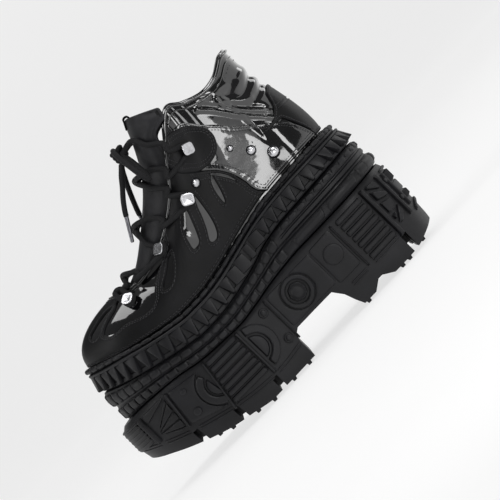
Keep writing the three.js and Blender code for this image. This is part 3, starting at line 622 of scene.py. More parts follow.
# Patent leather: black split leather under a clear lacquer; mirror gloss over faint waves.
def patentLeather():
    m = newMaterial("patent_leather_lacquered")
    place = addNode(m, "ShaderNodeTexCoord").outputs["Object"]
    waves = addNode(m, "ShaderNodeTexNoise", {
        "Vector": place, "Scale": 70.0, "Detail": 2.0, "Roughness": 0.4})
    fine = addNode(m, "ShaderNodeTexNoise", {"Vector": place, "Scale": 520.0, "Detail": 2.0})
    colour = blendColours(m, waves.outputs["Fac"], "#050506", "#0a0a0c")
    rough = addNode(m, "ShaderNodeMapRange", {
        "Value": fine.outputs["Fac"], "To Min": 0.05, "To Max": 0.11})
    low = addNode(m, "ShaderNodeBump", {
        "Height": waves.outputs["Fac"], "Strength": 0.25, "Distance": 0.001})
    bump = addNode(m, "ShaderNodeBump", {
        "Height": fine.outputs["Fac"], "Strength": 0.12, "Distance": 0.0002,
        "Normal": low.outputs["Normal"]})
    return closeMaterial(m, {"Base Color": colour, "Roughness": rough.outputs["Result"], "IOR": 1.52,
                             "Coat Weight": 1.0, "Coat Roughness": 0.04, "Coat IOR": 1.6,
                             "Normal": bump.outputs["Normal"], "Coat Normal": low.outputs["Normal"]})


# Knitted textile lining: 1 mm rib, brushed, with a soft sheen.
def textileLining():
    m = newMaterial("knitted_lining")
    place = addNode(m, "ShaderNodeTexCoord").outputs["Object"]
    ribs = addNode(m, "ShaderNodeTexWave", {
        "Vector": place, "Scale": 160.0, "Distortion": 1.2, "Detail": 2.0})
    fuzz = addNode(m, "ShaderNodeTexNoise", {"Vector": place, "Scale": 900.0, "Detail": 4.0})
    worn = addNode(m, "ShaderNodeTexNoise", {
        "Vector": place, "Scale": 60.0, "Detail": 6.0, "Roughness": 0.7})
    colour = blendColours(m, worn.outputs["Fac"], "#0c0c0d", "#232325", 0.45, 0.75)
    low = addNode(m, "ShaderNodeBump", {
        "Height": ribs.outputs["Fac"], "Strength": 0.3, "Distance": 0.0003})
    bump = addNode(m, "ShaderNodeBump", {
        "Height": fuzz.outputs["Fac"], "Strength": 0.5, "Distance": 0.0004,
        "Normal": low.outputs["Normal"]})
    return closeMaterial(m, {"Base Color": colour, "Roughness": 0.85, "Specular IOR Level": 0.25,
                             "Normal": bump.outputs["Normal"]})


# Soft tongue leather: corrected grain, smoother and duller than the vamp.
def softLeather():
    m = newMaterial("soft_nappa_leather")
    place = addNode(m, "ShaderNodeTexCoord").outputs["Object"]
    grain = addNode(m, "ShaderNodeTexVoronoi", {"Vector": place, "Scale": 900.0})
    creases = addNode(m, "ShaderNodeTexNoise", {
        "Vector": place, "Scale": 120.0, "Detail": 5.0, "Distortion": 0.6})
    colour = blendColours(m, creases.outputs["Fac"], "#1c1c1e", "#252528")
    low = addNode(m, "ShaderNodeBump", {
        "Height": grain.outputs["Distance"], "Strength": 0.3, "Distance": 0.0002})
    bump = addNode(m, "ShaderNodeBump", {
        "Height": creases.outputs["Fac"], "Strength": 0.3, "Distance": 0.0008,
        "Normal": low.outputs["Normal"]})
    return closeMaterial(m, {"Base Color": colour, "Roughness": 0.55, "Specular IOR Level": 0.3,
                             "Normal": bump.outputs["Normal"]})


# Braided polyester cord: eight plaits round, one every 2.2 mm, read from the cord's own UV.
def braidedCord():
    m = newMaterial("braided_polyester_cord")
    flat = addNode(m, "ShaderNodeUVMap").outputs["UV"]
    strands = []
    for turn in (40, -40):
        turned = addNode(m, "ShaderNodeMapping", {"Vector": flat, "Rotation": (0, 0, math.radians(turn))})
        strands.append(addNode(m, "ShaderNodeTexWave", {
            "Vector": turned.outputs["Vector"], "Scale": 0.30}, bands_direction="X").outputs["Fac"])
    weave = addNode(m, "ShaderNodeMath", {0: strands[0], 1: strands[1]}, operation="MAXIMUM")
    colour = blendColours(m, weave.outputs["Value"], "#070708", "#19191b", 0.2, 0.9)
    bump = addNode(m, "ShaderNodeBump", {
        "Height": weave.outputs["Value"], "Strength": 0.8, "Distance": 0.0004})
    return closeMaterial(m, {"Base Color": colour, "Roughness": 0.72, "Specular IOR Level": 0.3,
                             "Normal": bump.outputs["Normal"]})


# Bonded nylon thread: twisted, waxed, a touch brighter than the leather.
def waxedThread():
    m = newMaterial("bonded_nylon_thread")
    place = addNode(m, "ShaderNodeTexCoord").outputs["Object"]
    twist = addNode(m, "ShaderNodeTexWave", {"Vector": place, "Scale": 900.0, "Distortion": 1.0},
                    bands_direction="DIAGONAL")
    colour = blendColours(m, twist.outputs["Fac"], "#1b1b1d", "#2e2e31")
    bump = addNode(m, "ShaderNodeBump", {
        "Height": twist.outputs["Fac"], "Strength": 0.5, "Distance": 0.0001})
    return closeMaterial(m, {"Base Color": colour, "Roughness": 0.45, "IOR": 1.53,
                             "Normal": bump.outputs["Normal"]})


# Woven polyester webbing: plain weave, 1.2 mm ribs across the band.
def wovenWebbing():
    m = newMaterial("woven_webbing")
    flat = addNode(m, "ShaderNodeUVMap").outputs["UV"]
    across = addNode(m, "ShaderNodeTexWave", {"Vector": flat, "Scale": 0.26}, bands_direction="X")
    along = addNode(m, "ShaderNodeTexWave", {"Vector": flat, "Scale": 0.16}, bands_direction="Y")
    weave = addNode(m, "ShaderNodeMath", {0: across.outputs["Fac"], 1: along.outputs["Fac"]},
                    operation="MULTIPLY")
    colour = blendColours(m, weave.outputs["Value"], "#0d0d0e", "#262628", 0.1, 0.7)
    bump = addNode(m, "ShaderNodeBump", {
        "Height": weave.outputs["Value"], "Strength": 0.7, "Distance": 0.0004})
    return closeMaterial(m, {"Base Color": colour, "Roughness": 0.8, "Specular IOR Level": 0.25,
                             "Normal": bump.outputs["Normal"]})


# Nickel-plated steel: tumbled bright, with faint hairlines from wear.
def platedSteel(name="nickel_plated_steel", roughness=0.22, tint="#b4b4b7", worn="#cfcfd2"):
    m = newMaterial(name)
    place = addNode(m, "ShaderNodeTexCoord").outputs["Object"]
    wear = addNode(m, "ShaderNodeTexNoise", {"Vector": place, "Scale": 300.0, "Detail": 5.0})
    colour = blendColours(m, wear.outputs["Fac"], tint, worn, 0.3, 0.7)
    rough = addNode(m, "ShaderNodeMapRange", {
        "Value": wear.outputs["Fac"], "To Min": roughness * 0.7, "To Max": roughness * 1.5})
    bump = addNode(m, "ShaderNodeBump", {
        "Height": wear.outputs["Fac"], "Strength": 0.06, "Distance": 0.0002})
    return closeMaterial(m, {"Base Color": colour, "Metallic": 1.0, "Roughness": rough.outputs["Result"],
                             "Normal": bump.outputs["Normal"]})


# Matte studio paper sweep.
def studioPaper():
    m = newMaterial("studio_paper")
    place = addNode(m, "ShaderNodeTexCoord").outputs["Object"]
    fibre = addNode(m, "ShaderNodeTexNoise", {"Vector": place, "Scale": 3.0, "Detail": 2.0})
    colour = blendColours(m, fibre.outputs["Fac"], "#868686", "#898989")
    return closeMaterial(m, {"Base Color": colour, "Roughness": 0.9, "Emission Color": linear("#f4f4f4"),
                             "Emission Strength": 0.79})


rubber, matte, patent = mouldedRubber(), matteLeather(), patentLeather()
lining, nappa, cordage, thread = textileLining(), softLeather(), braidedCord(), waxedThread()
webbing, steel = wovenWebbing(), platedSteel()
gunmetal = platedSteel("gunmetal_plated_brass", 0.3, "#6a6a6f", "#8d8d92")
blackened = platedSteel("blackened_brass", 0.38, "#131315", "#242427")
print("materials made")

# Camera: a long lens at the shoe's outer side, rolled so that the sole runs down to the right.
camera = {"aim": (-28, 0, 94), "distance": 2000, "span": 397, "rise": 2.0, "roll": 46.2, "sensor": 36,
          "near": 0.05, "far": 50}


def addCamera():
    rise, roll = math.radians(camera["rise"]), math.radians(camera["roll"])
    back = Vector((0, math.cos(rise), math.sin(rise)))
    level, up = Vector((-1, 0, 0)), Vector((0, -math.sin(rise), math.cos(rise)))
    right = level * math.cos(roll) - up * math.sin(roll)
    rolledUp = level * math.sin(roll) + up * math.cos(roll)
    data = bpy.data.cameras.new("camera")
    data.sensor_width = camera["sensor"]
    data.lens = camera["sensor"] * camera["distance"] / camera["span"]
    data.clip_start, data.clip_end = camera["near"], camera["far"]
    holder = bpy.data.objects.new("camera", data)
    spot = (Vector(camera["aim"]) + back * camera["distance"]) * mm
    matrix = Matrix((right, rolledUp, back)).transposed().to_4x4()
    holder.matrix_world = Matrix.Translation(spot) @ matrix
    scene.collection.objects.link(holder)
    scene.camera = holder


addCamera()

# Bow: each route is a cord's middle line, from the knot outwards.
bow = {
    "knot": {"at": (-11, 0, 221.5), "semi": (6, 7, 6.5), "tight": 0.95, "core": 0.62},
    "aglet": {"length": 20, "radius": 1.7, "overlap": 1.2},
    "routes": {
        "lace_loop_lateral": [
            (-10, 8.5, 224), (-9.5, 18, 226), (-9, 32, 222), (-9.5, 46, 214), (-10.5, 56, 205),
            (-11.5, 60, 197), (-13, 56, 191), (-14, 46, 191), (-14.5, 34, 199), (-14, 20, 210),
            (-12.5, 9.5, 217.5)],
        "lace_loop_medial": [
            (-10, -8.5, 223), (-9.5, -20, 224), (-9, -34, 222), (-9.5, -50, 219), (-10.5, -63, 214),
            (-12, -70, 206), (-13.5, -66, 198), (-14, -54, 195.5), (-14.5, -40, 200), (-14, -24, 208),
            (-12.5, -10, 216)],
        "lace_end_lateral": [
            (-7, 6, 215), (-3.5, 9, 211.5), (1, 12, 207), (6, 14.5, 201), (12, 16, 194.5),
            (17.5, 16.5, 187.5), (21, 16.5, 182)],
        "lace_end_medial": [
            (-7, -6, 215), (-3.5, -11, 211), (0, -17, 205), (4, -22, 197.5), (8, -26, 189),
            (11.5, -29, 181), (13.5, -31, 175.5)],
    },
}


# The knot, a cord turned through itself three times, as tight as the cord allows.
def addKnot():
    turn = np.linspace(0, 2 * math.pi, 90, endpoint=False)
    curl = np.stack([np.sin(3 * turn) * 0.9, np.sin(turn) + 2 * np.sin(2 * turn),
                     np.cos(turn) - 2 * np.cos(2 * turn)], axis=1)
    curl /= np.abs(curl).max(axis=0)
    path = curl * (np.array(bow["knot"]["semi"]) - boot["laceRadius"] * 0.7) + bow["knot"]["at"]
    bm = bmesh.new()
    addTube(bm, path, boot["laceRadius"] * bow["knot"]["tight"], closed=True)
    core = bmesh.ops.create_uvsphere(bm, u_segments=14, v_segments=9, radius=1)["verts"]
    bmesh.ops.scale(bm, vec=[s * bow["knot"]["core"] for s in bow["knot"]["semi"]], verts=core)
    bmesh.ops.translate(bm, vec=bow["knot"]["at"], verts=core)
    return finishPiece("bow_knot", bm, [cordage], ["lace_knot"])


# A crimped metal tip that swallows the cord's end.
def addAglet(name, before, tip, node):
    along = unit(np.subtract(tip, before)[None])[0]
    start = np.array(tip) - along * bow["aglet"]["overlap"]
    size, length = bow["aglet"]["radius"], bow["aglet"]["length"]
    profile = [(0, 0), (size, 0), (size * 1.06, 0.5), (size, 1.2), (size * 0.96, length * 0.5),
               (size * 0.9, length), (size * 0.7, length + 0.9), (0, length + 1.1)]
    bm = bmesh.new()
    addSpun(bm, profile, 16)
    turn = Vector((0, 0, 1)).rotation_difference(Vector(along)).to_matrix().to_4x4()
    bmesh.ops.transform(bm, matrix=Matrix.Translation(Vector(start)) @ turn, verts=bm.verts[:])
    return finishPiece(name, bm, [gunmetal], [node])


knot = addKnot()


def addBow():
    for name, route in bow["routes"].items():
        path = evenly(openCurve(route, 120), 0.8)
        bm = bmesh.new()
        addTube(bm, path, boot["laceRadius"])
        piece = finishPiece(name.replace("lace_", "bow_"), bm, [cordage], [name])
        loop = "loop" in name
        going = []
        if name == "lace_loop_lateral":
            going = [knot]
        if not loop:
            going = [addAglet(name.replace("lace_end", "bow_tip"), route[-2], route[-1],
                              name.replace("lace_end", "aglet"))]
        [c * mm for c in route[0]]


addBow()
print("bow made")

# Outsole.
tread = {
    "slots": [(100, 5, 3), (66, 5, 2), (30, 5, 0), (-119, 5.5, 0)],
    "waist": {"front": -4, "rear": -61, "underside": 27.5}, "edgeRound": 0.7, "relief": 1.35,
    "studX": [125, 116, 91, 80, 57, 42, 20, 3, -64, -102, -110, -128, -142],
    "studRows": [0.97, 0.62, 0.27], "studSize": (4.5, 12.0), "studSink": 2.2, "studRound": 0.45,
    "lines": [(137, 121), (118, 102), (96, 68), (64, 30), (25, -3), (-64, -81), (-88, -113)],
    "around": 420, "ground": -6, "toolEnd": 80, "slotStop": 8,
    "cornerX": -121, "cornerDepth": 22, "cornerArc": 36.0,
}


# A straight bar of a drawn section, along Y (side view drawing) or along X (back view drawing).
def addBar(bm, drawing, start, end, axis="y"):
    if axis == "y":
        verts = [bm.verts.new((a, start, b)) for a, b in drawing]
    else:
        verts = [bm.verts.new((start, a, b)) for a, b in drawing]
    face = bm.faces.new(verts)
    made = bmesh.ops.extrude_face_region(bm, geom=[face], use_keep_orig=True)["geom"]
    move = (0, end - start, 0) if axis == "y" else (end - start, 0, 0)
    bmesh.ops.translate(bm, vec=move, verts=[g for g in made if isinstance(g, bmesh.types.BMVert)])


# Cuts tools out of a body, rounds its hard edges and returns the result as a bmesh.
def carved(bm, cutters, rounding):
    body = looseObject(bm, "carving")
    tools = [looseObject(cutter, "cutter") for cutter in cutters]
    for tool in tools:
        cut = body.modifiers.new("cut", "BOOLEAN")
        cut.operation, cut.solver, cut.object = "DIFFERENCE", "EXACT", tool
    if rounding:
        bevel = body.modifiers.new("round", "BEVEL")
        bevel.width, bevel.segments, bevel.limit_method = rounding, 2, "ANGLE"
        bevel.angle_limit = math.radians(38)
        bevel.miter_outer = "MITER_ARC"
    graph = bpy.context.evaluated_depsgraph_get()
    result = bmesh.new()
    result.from_mesh(body.evaluated_get(graph).to_mesh())
    for tool in [body, *tools]:
        bpy.data.objects.remove(tool, do_unlink=True)
    return result


def outsoleBlock():
    around = tread["around"]
    levels = storeys["outsole"][:3] + [("ledge", "ledge", -0.6), ("weltRim", "ledge", 0)]
    shares = [0, 0.5, 1, 1.25, 1.5, 1.75, 2, 2.5, 3, 4]     # rings, counted in levels
    bm = bmesh.new()
    arcs = np.arange(around) / around * girth
    point, normal = rimByArc(arcs)
    rings = []
    for share in shares:
        k = min(int(share), len(levels) - 2)
        f = share - k
        heights = [soleHeight(levels[j][1], point[:, 0]) + levels[j][2] for j in (k, k + 1)]
        edges = [edgeOffset(levels[j][0], point[:, 0]) for j in (k, k + 1)]
        flat = point + normal * (edges[0] * (1 - f) + edges[1] * f)[:, None]
        z = heights[0] * (1 - f) + heights[1] * f
        rings.append([bm.verts.new(p) for p in np.column_stack([flat, z])])
    loops = [[bm.edges.new((ring[k], ring[(k + 1) % around])) for k in range(around)] for ring in rings]
    for low, high in zip(loops, loops[1:]):
        bmesh.ops.bridge_loops(bm, edges=low + high)
    for ring in (rings[0], rings[-1]):
        for k in range(around // 2):
            corners = [ring[k], ring[k + 1], ring[around - k - 1], ring[-k if k else 0]]
            bm.faces.new(list(dict.fromkeys(corners)))
    return bm


# A slot between two lugs, cut from both sides and stopped short of the middle.
def slotTool(x, width, lean):
    low, top = tread["ground"], float(soleHeight("line", x)) - 1
    half, end, stop = width / 2, tread["toolEnd"], tread["slotStop"]
    drawing = [(x - half, low), (x + half, low), (x + half + lean, top), (x - half + lean, top)]
    bm = bmesh.new()
    addBar(bm, drawing, -end, -stop)
    addBar(bm, drawing, stop, end)
    return bm


def outsoleTools():
    front, rear, under = (tread["waist"][k] for k in ("front", "rear", "underside"))
    low, end = tread["ground"], tread["toolEnd"]
    waist, notch, rearNotch = bmesh.new(), bmesh.new(), bmesh.new()
    addBar(waist, [(front, low), (front, 19), (front - 2, 24.5), (front - 6.5, under),
                   (rear + 13, under), (rear + 7, 19), (rear + 4, 10), (rear, 1), (rear, low)], -end, end)
    addBar(notch, [(-96, low), (-96, 1.5), (-85, 8.5), (-81, 8.5), (-71, 1.5), (-71, low)], -end, end)
    addBar(rearNotch, [(-14.5, low), (14.5, low), (12.5, 0), (7, 10), (1.5, 17), (0, 18), (-1.5, 17),
                       (-7, 10), (-12.5, 0)], -160, -101, "x")
    return [waist, notch, rearNotch, *(slotTool(*slot) for slot in tread["slots"])]


def onWall(flat, out):
    return onStorey("outsole", flat[:, 0], flat[:, 1], out)


# The corner behind the last strap, stretched so that it ends where the rear panel begins.
def cornerArc(x, side):
    start = arcAtX(tread["cornerX"], 1)
    arc = start + (tread["cornerArc"] - start) * (tread["cornerX"] - x) / tread["cornerDepth"]
    return arc if side > 0 else girth - arc


# A drawing of the side view, laid round the wall.
def sideRing(points, side):
    corner = min(x for x, _ in points) < tread["cornerX"] + 0.1
    return np.array([(cornerArc(x, side) if corner else arcAtX(x, side), z) for x, z in points])


def box(x0, z0, x1, z1, lean=0):
    return [(x0, z0), (x1, z0), (x1 + lean, z1), (x0 + lean, z1)]


def disc(x, z, radius, start=0, end=360, count=28):
    turn = np.radians(np.linspace(start, end, count, endpoint=end - start < 360))
    return [(x + radius * math.cos(a), z + radius * math.sin(a)) for a in turn]


def bandRing(x, z, outer, innerRadius, start, end):
    return disc(x, z, outer, start, end, 20) + disc(x, z, innerRadius, start, end, 14)[::-1]


# What stands on the wall, in side view: outline, height, rounding and spacing.
def wallReliefs():
    reliefs = []

    def add(outline, high, rounding=0.7, spacing=2.6, low=-0.6, drop=None, holes=()):
        reliefs.append((outline, low, high * tread["relief"], spacing, rounding, drop, holes))

    # toe block, ridge and fan panel
    add(box(134, 44, 122.5, 64), 1.0, 1.2)
    add(box(121.2, 41, 118.6, 66.5), 2.4, 1.2, 1.6)
    fan = (117.4, 46)
    ends = [(98.0, 64.5), (98.6, 60.5), (99.2, 52.2), (99.8, 44), (100.0, 36), (104.5, 35.5)]
    for k, (a, b) in enumerate(zip(ends, ends[1:])):
        shrink = [np.array(p) + (np.mean([fan, a, b], axis=0) - p) * 0.10 for p in (fan, a, b)]
        add([tuple(p) for p in shrink], 1.5 if k % 2 else 0.9, 0.8, 1.8)
    add([(117, 65.6), (99, 66.2), (99.6, 64.2), (117, 58)], 1.1, 0.8, 1.8)
    # framed panel with bolts and the half discs by the louvres
    add([(94.0, 65.0), (63.0, 60.0), (68.5, 24.5), (97.5, 35.0)], 1.1, 1.0,
        holes=[disc(61.5, 43, 18.2)])
    add([(96.6, 66.5), (94.6, 66.0), (98.8, 33.6), (100.9, 34.0)], 2.0, 0.8, 1.6)
    add(disc(87.5, 38.3, 3.5), 2.2, 1.2, 1.2, low=0.4)
    add(disc(84.7, 57.0, 2.8), 1.9, 1.2, 1.2, low=0.4)
    add(bandRing(61.5, 43, 17.2, 11, 282, 422), 1.9, 1.2, 1.8)
    add(disc(61.5, 43, 9.8, 280, 420, 18), 1.4, 2.5, 1.8)
    for k in range(7):
        z = 24.2 + 5.7 * k
        x = 64.6 - 0.155 * (z - 24)
        add([(x, z - 2.3), (29.0, z - 3.0), (29.0, z + 1.7), (x - 0.7, z + 2.4)], 2.2, 1.5, 1.9)
    add([(67.6, 18.6), (65.6, 18.4), (58.8, 62.5), (60.6, 63.0)], 2.6, 0.9, 1.6)
    add(box(28.4, 16.0, 25.6, 60), 2.6, 1.0, 1.6)
    add(bandRing(25.0, 39.5, 19.5, 12.4, 96, 264), 1.9, 1.2, 1.8)
    add(disc(25.0, 39.5, 11, 98, 262, 18), 1.3, 3.0, 1.8)
    for z in (54.5, 27):
        add(disc(0.8, z, 4.2), 1.0, 0.8, 1.2)
        add(disc(0.8, z, 2.7), 2.3, 1.2, 1.0, low=0.5)
    add(box(-4.8, 21, -6.6, 61), 1.6, 0.8, 1.6)
    # big ring with its domed nut, and the shallow disc behind it
    add(box(-8.5, 30, -57, 61.5), 0.7, 1.2, holes=[disc(-30.5, 47, 14.4)])
    add(disc(-30.5, 47, 13.9), 2.3, 1.3, 1.6, holes=[disc(-30.5, 47, 9.6)])
    add(disc(-30.5, 47, 8.2, count=8), 1.4, 0.9, 1.6)
    add(disc(-30.5, 47, 6.4), 3.6, 6.0, 1.2, low=0.4, drop=2.6)
    add([(-58.2, 27), (-81.0, 27), (-81.0, 63.5), (-58.2, 62.5)], 0.8, 1.2)
    add(disc(-70.5, 47, 8.4), 1.7, 1.1, 1.6, low=0.2)
    # louvres between two straps
    for k in range(7):
        z = 24.6 + 6.15 * k
        add(box(-88.6, z - 2.5, -113.2, z + 2.3), 2.3, 1.5, 1.9)
    add(box(-82.6, 21, -84.4, 64.5), 2.2, 0.8, 1.6)
    add(box(-115.0, 18, -118.4, 66), 2.8, 1.2, 1.6)
    # rear fan panel
    rearFan = [
        [(-121, 62.5), (-142, 55.5), (-142, 63.5), (-121, 65)],
        [(-121, 59), (-142.5, 51.5), (-143, 47.5), (-121, 50.5)],
        [(-121, 48), (-143, 45), (-143, 43.5), (-133, 37), (-121, 36.8)],
        [(-121, 34.2), (-130, 34.6), (-121.2, 29.5)],
        [(-122, 26.5), (-142, 38), (-142, 30), (-128, 25)],
    ]
    for k, outline in enumerate(rearFan):
        add(outline, 2.4 if k % 2 else 1.7, 0.9, 1.9)
    return reliefs


# Reliefs wrapped round the toe and the heel, by arc from the toe's or heel's middle.
def endReliefs():
    reliefs = []
    toe = girth / 2

    def add(middle, outline, high, rounding=0.7, spacing=2.0, drop=None):
        reliefs.append(([(middle + a, z) for a, z in outline], -0.6, high, spacing, rounding, drop, ()))

    for k in range(6):
        z = 47.2 + 3.5 * k
        add(toe, box(-27, z - 1.2, 27, z + 1.2), 1.7, 1.1, 1.7)
    for side in (-1, 1):
        add(0, box(side * 31.6 - 1.7, 24, side * 31.6 + 1.7, 65), 2.6, 1.2, 1.6)
        add(0, box(side * 23.0 - 1.5, 29, side * 23.0 + 1.5, 62.5), 2.2, 1.0, 1.6)
        add(0, disc(side * 26.8, 56.5, 2.2), 2.8, 1.0, 1.2)
        add(0, disc(side * 26.8, 38.0, 2.2), 2.8, 1.0, 1.2)
    add(0, box(-21, 41.2, 21, 50.6), 1.2, 0.9)
    for low, high in ((51.4, 61.6), (33.6, 40.4)):
        for k in range(16):
            a = -19.5 + 2.6 * k
            add(0, box(a - 0.85, low, a + 0.85, high, 0.5), 2.0, 0.8, 1.4)
    arch = [(a, 24 + 6.2 * (1 - (a / 22) ** 2)) for a in np.linspace(-21, 21, 15)]
    add(0, arch + [(a, b - 3.2) for a, b in arch[::-1]], 2.0, 0.9, 1.8)
    add(0, box(-22, 62.9, 22, 65.2), 2.0, 0.8, 1.8)
    return reliefs


# The double line round the wall, left open where slots and straps cross it.
def lineRings(bm):
    for lift, size in ((0.9, 0.75), (-1.5, 0.6)):
        for side in sides.values():
            for x0, x1 in tread["lines"]:
                a = np.linspace(arcAtX(x0, side), arcAtX(x1, side), 40)
                point, _ = rimByArc(a)
                z = soleHeight("line", point[:, 0]) + lift
                addTube(bm, onStorey("outsole", a, z, 0.1), size, around=7, spacing=1.6)


# The middles of the studs' outer ends, in rows that follow the rim.
def studPlaces():
    studs = []
    for x in tread["studX"]:
        for side in sides.values():
            point, normal = rimByArc(arcAtX(x, side))
            edge = float(edgeOffset("treadFace", x)) - 2.0
            for share in tread["studRows"]:
                y = (point[1] + normal[1] * edge) * share
                if x < -100 and abs(y) < 22:
                    continue
                studs.append((x, y, float(soleHeight("tread", x))))
    return studs


def addStuds(bm):
    wide, deep = tread["studSize"]
    tall = boot["studDrop"] + tread["studSink"]
    for x, y, z in studPlaces():
        made = bmesh.ops.create_cube(bm, size=1)["verts"]
        bmesh.ops.scale(bm, vec=(wide, deep, tall), verts=made)
        bmesh.ops.scale(bm, vec=(0.72, 0.85, 1), verts=[v for v in made if v.co.z < 0])
        bmesh.ops.translate(bm, vec=(x, y - math.copysign(deep / 2, y), z + tall / 2), verts=made)
        edges = list({e for v in made for e in v.link_edges})
        bmesh.ops.bevel(bm, geom=edges, offset=tread["studRound"], segments=2, profile=0.5,
                        material=-1, affect="EDGES")


def makeOutsole():
    bm = carved(outsoleBlock(), outsoleTools(), tread["edgeRound"])
    reliefs = [(sideRing(r[0], side), *r[1:6], [sideRing(h, side) for h in r[6]])
               for side in sides.values() for r in wallReliefs()]
    reliefs += [(np.array(r[0], float), *r[1:]) for r in endReliefs()]
    for outline, low, high, spacing, rounding, drop, holes in reliefs:
        addPatch(bm, outline, onWall, low, high, spacing, rounding, drop, holes)
    lineRings(bm)
    addStuds(bm)
    return finishPiece("outsole_lugged", bm, [rubber], ["outsole"], sharp=32)


makeOutsole()
print("outsole made")

# Midsole band.
# Profiles from ledge (0) to the rand's foot (1): share of height, stand-out. One for the
# forefoot, one for the heel's bulge and strips.
band = {
    "fore": [(0, 1.5), (0.04, 3.2), (0.10, 3.6), (0.40, 3.6), (0.45, 2.2), (0.50, 2.4), (0.55, 4.2),
             (0.66, 5.0), (0.80, 4.6), (0.90, 3.0), (0.94, 1.5), (1, 1.2)],
    "heel": [(0, 1.2), (0.03, 4.6), (0.09, 6.6), (0.18, 7.4), (0.30, 7.2), (0.38, 5.8), (0.42, 3.0),
             (0.47, 2.6), (0.50, 4.4), (0.53, 5.0), (0.62, 4.8), (0.655, 3.0), (0.69, 2.8), (0.72, 4.4),
             (0.76, 4.8), (0.90, 4.0), (0.95, 1.6), (1, 1.0)],
    "pitch": 9.4, "rise": 16, "tuck": -9.0, "columns": 460,
}


def bandOffset(x, share):
    fore = np.interp(share, *zip(*band["fore"]))
    heel = np.interp(share, *zip(*band["heel"]))
    rear = 1 - smoothStep(x, -58, -44)
    ends = 1 - 0.42 * smoothStep(x, 95, 130) - 0.36 * (1 - smoothStep(x, -146, -118))
    return (fore + (heel - fore) * rear) * ends


def onBand(arc, share, out):
    point, normal = rimByArc(arc)
    low, high = soleHeight("ledge", point[..., 0]) + 0.3, soleHeight("randFoot", point[..., 0]) + 0.2
    z = low + (high - low) * share
    flat = point + normal * (bandOffset(point[..., 0], share) + out)[..., None]
    return np.concatenate([flat, z[..., None]], axis=-1)


# Bricks, scallops and pads that stand on the band.
def addBandBlocks(bm):
    def pad(outline, high, spacing, rounding):
        addPatch(bm, np.array(outline), surface, -0.8, high, spacing, rounding)

    def surface(flat, out):
        return onBand(flat[:, 0], flat[:, 1] / band["rise"], out)

    count = int(girth / band["pitch"])
    brick, scallop = band["pitch"] * 0.5 * 0.9, band["pitch"] * 0.5 * 0.94
    for k in range(count):
        a = (k + 0.5) * girth / count
        x = float(rimByArc(a)[0][0])
        if x > -46:     # bricks below, round-footed scallops above
            pad(box(a - brick, 1.0, a + brick, 6.4), 1.6, 1.7, 0.8)
            foot = [(a + scallop * math.cos(t), 10.4 - 2.6 * math.sin(t)) for t in np.linspace(0, math.pi, 9)]
            pad([*foot, (a - scallop, 14.4), (a + scallop, 14.4)], 1.3, 1.7, 0.8)
        elif x < -56:   # thin blocks over the bulge
            pad(box(a - brick, 11.8, a + brick, 14.9), 0.9, 1.9, 0.7)
    # pads along the bulge, parted by slanting cuts
    for side in sides.values():
        for x0, x1 in ((-56, -89.5), (-92.5, -121.5), (-124.5, -140)):
            a0, a1 = arcAtX(x0, side), arcAtX(x1, side)
            lean = 2.0 * (1 if a1 > a0 else -1)
            pad([(a0, 1.2), (a1 - lean, 1.2), (a1 + lean * 0.6, 6.2), (a0 + lean * 0.4, 6.2)], 1.5, 2.2, 2.2)
    for a in (-23, 0, 23):
        pad(box(a - 10.6, 1.2, a + 10.6, 6.4), 1.5, 2.2, 2.0)


def makeMidsole():
    bm = bmesh.new()
    profile = np.unique(np.concatenate([[p[0] for p in band["fore"]], [p[0] for p in band["heel"]]]))
    profile = np.concatenate([[-0.2], profile, [1.2]])     # first and last run in under the layers

    def shape(u, v):
        t = v * (len(profile) - 1)
        share = np.interp(t, np.arange(len(profile)), profile)
        tuck = np.where((share < 0) | (share > 1), band["tuck"], 0.0)
        return onBand(u * girth, np.clip(share, 0, 1), tuck)

    addGrid(bm, band["columns"], len(profile) - 1, shape)
    capEnds(bm)
    addBandBlocks(bm)
    return finishPiece("midsole_band", bm, [rubber], ["midsole"], sharp=40)


makeMidsole()
print("midsole made")

# Rand with its teeth.
rand = {
    "profile": [(-0.05, -9), (0, 0.4), (0.06, 1.2), (0.2, 1.3), (0.24, 0.3), (0.84, 0.0), (0.88, 1.2),
                (0.97, 1.2), (1.0, 0.4), (1.04, -9)],
    "columns": 460, "tipLift": 2.6, "tipHalf": 0.8, "fill": 0.485, "toothRound": 0.4,
    "plain": (-46, 4), "narrow": (-31, -20),
}


def onRand(arc, z, out):
    return onStorey("rand", arc, z, out)


# The solid that wraps a set of points, with rounded edges.
def addHull(bm, points, rounding):
    made = [bm.verts.new(p) for p in points]
    hull = bmesh.ops.convex_hull(bm, input=made)
    inside = [v for v in hull["geom_interior"] if isinstance(v, bmesh.types.BMVert)]
    bmesh.ops.delete(bm, geom=inside, context="VERTS")
    alive = [v for v in made if v.is_valid]
    faces = list({f for v in alive for f in v.link_faces})
    bmesh.ops.dissolve_limit(bm, angle_limit=math.radians(4), verts=alive,
                             edges=list({e for f in faces for e in f.edges}))
    edges = list({e for v in alive if v.is_valid for e in v.link_edges})
    bmesh.ops.bevel(bm, geom=edges, offset=rounding, segments=2, profile=0.5, material=-1,
                    affect="EDGES", clamp_overlap=True)


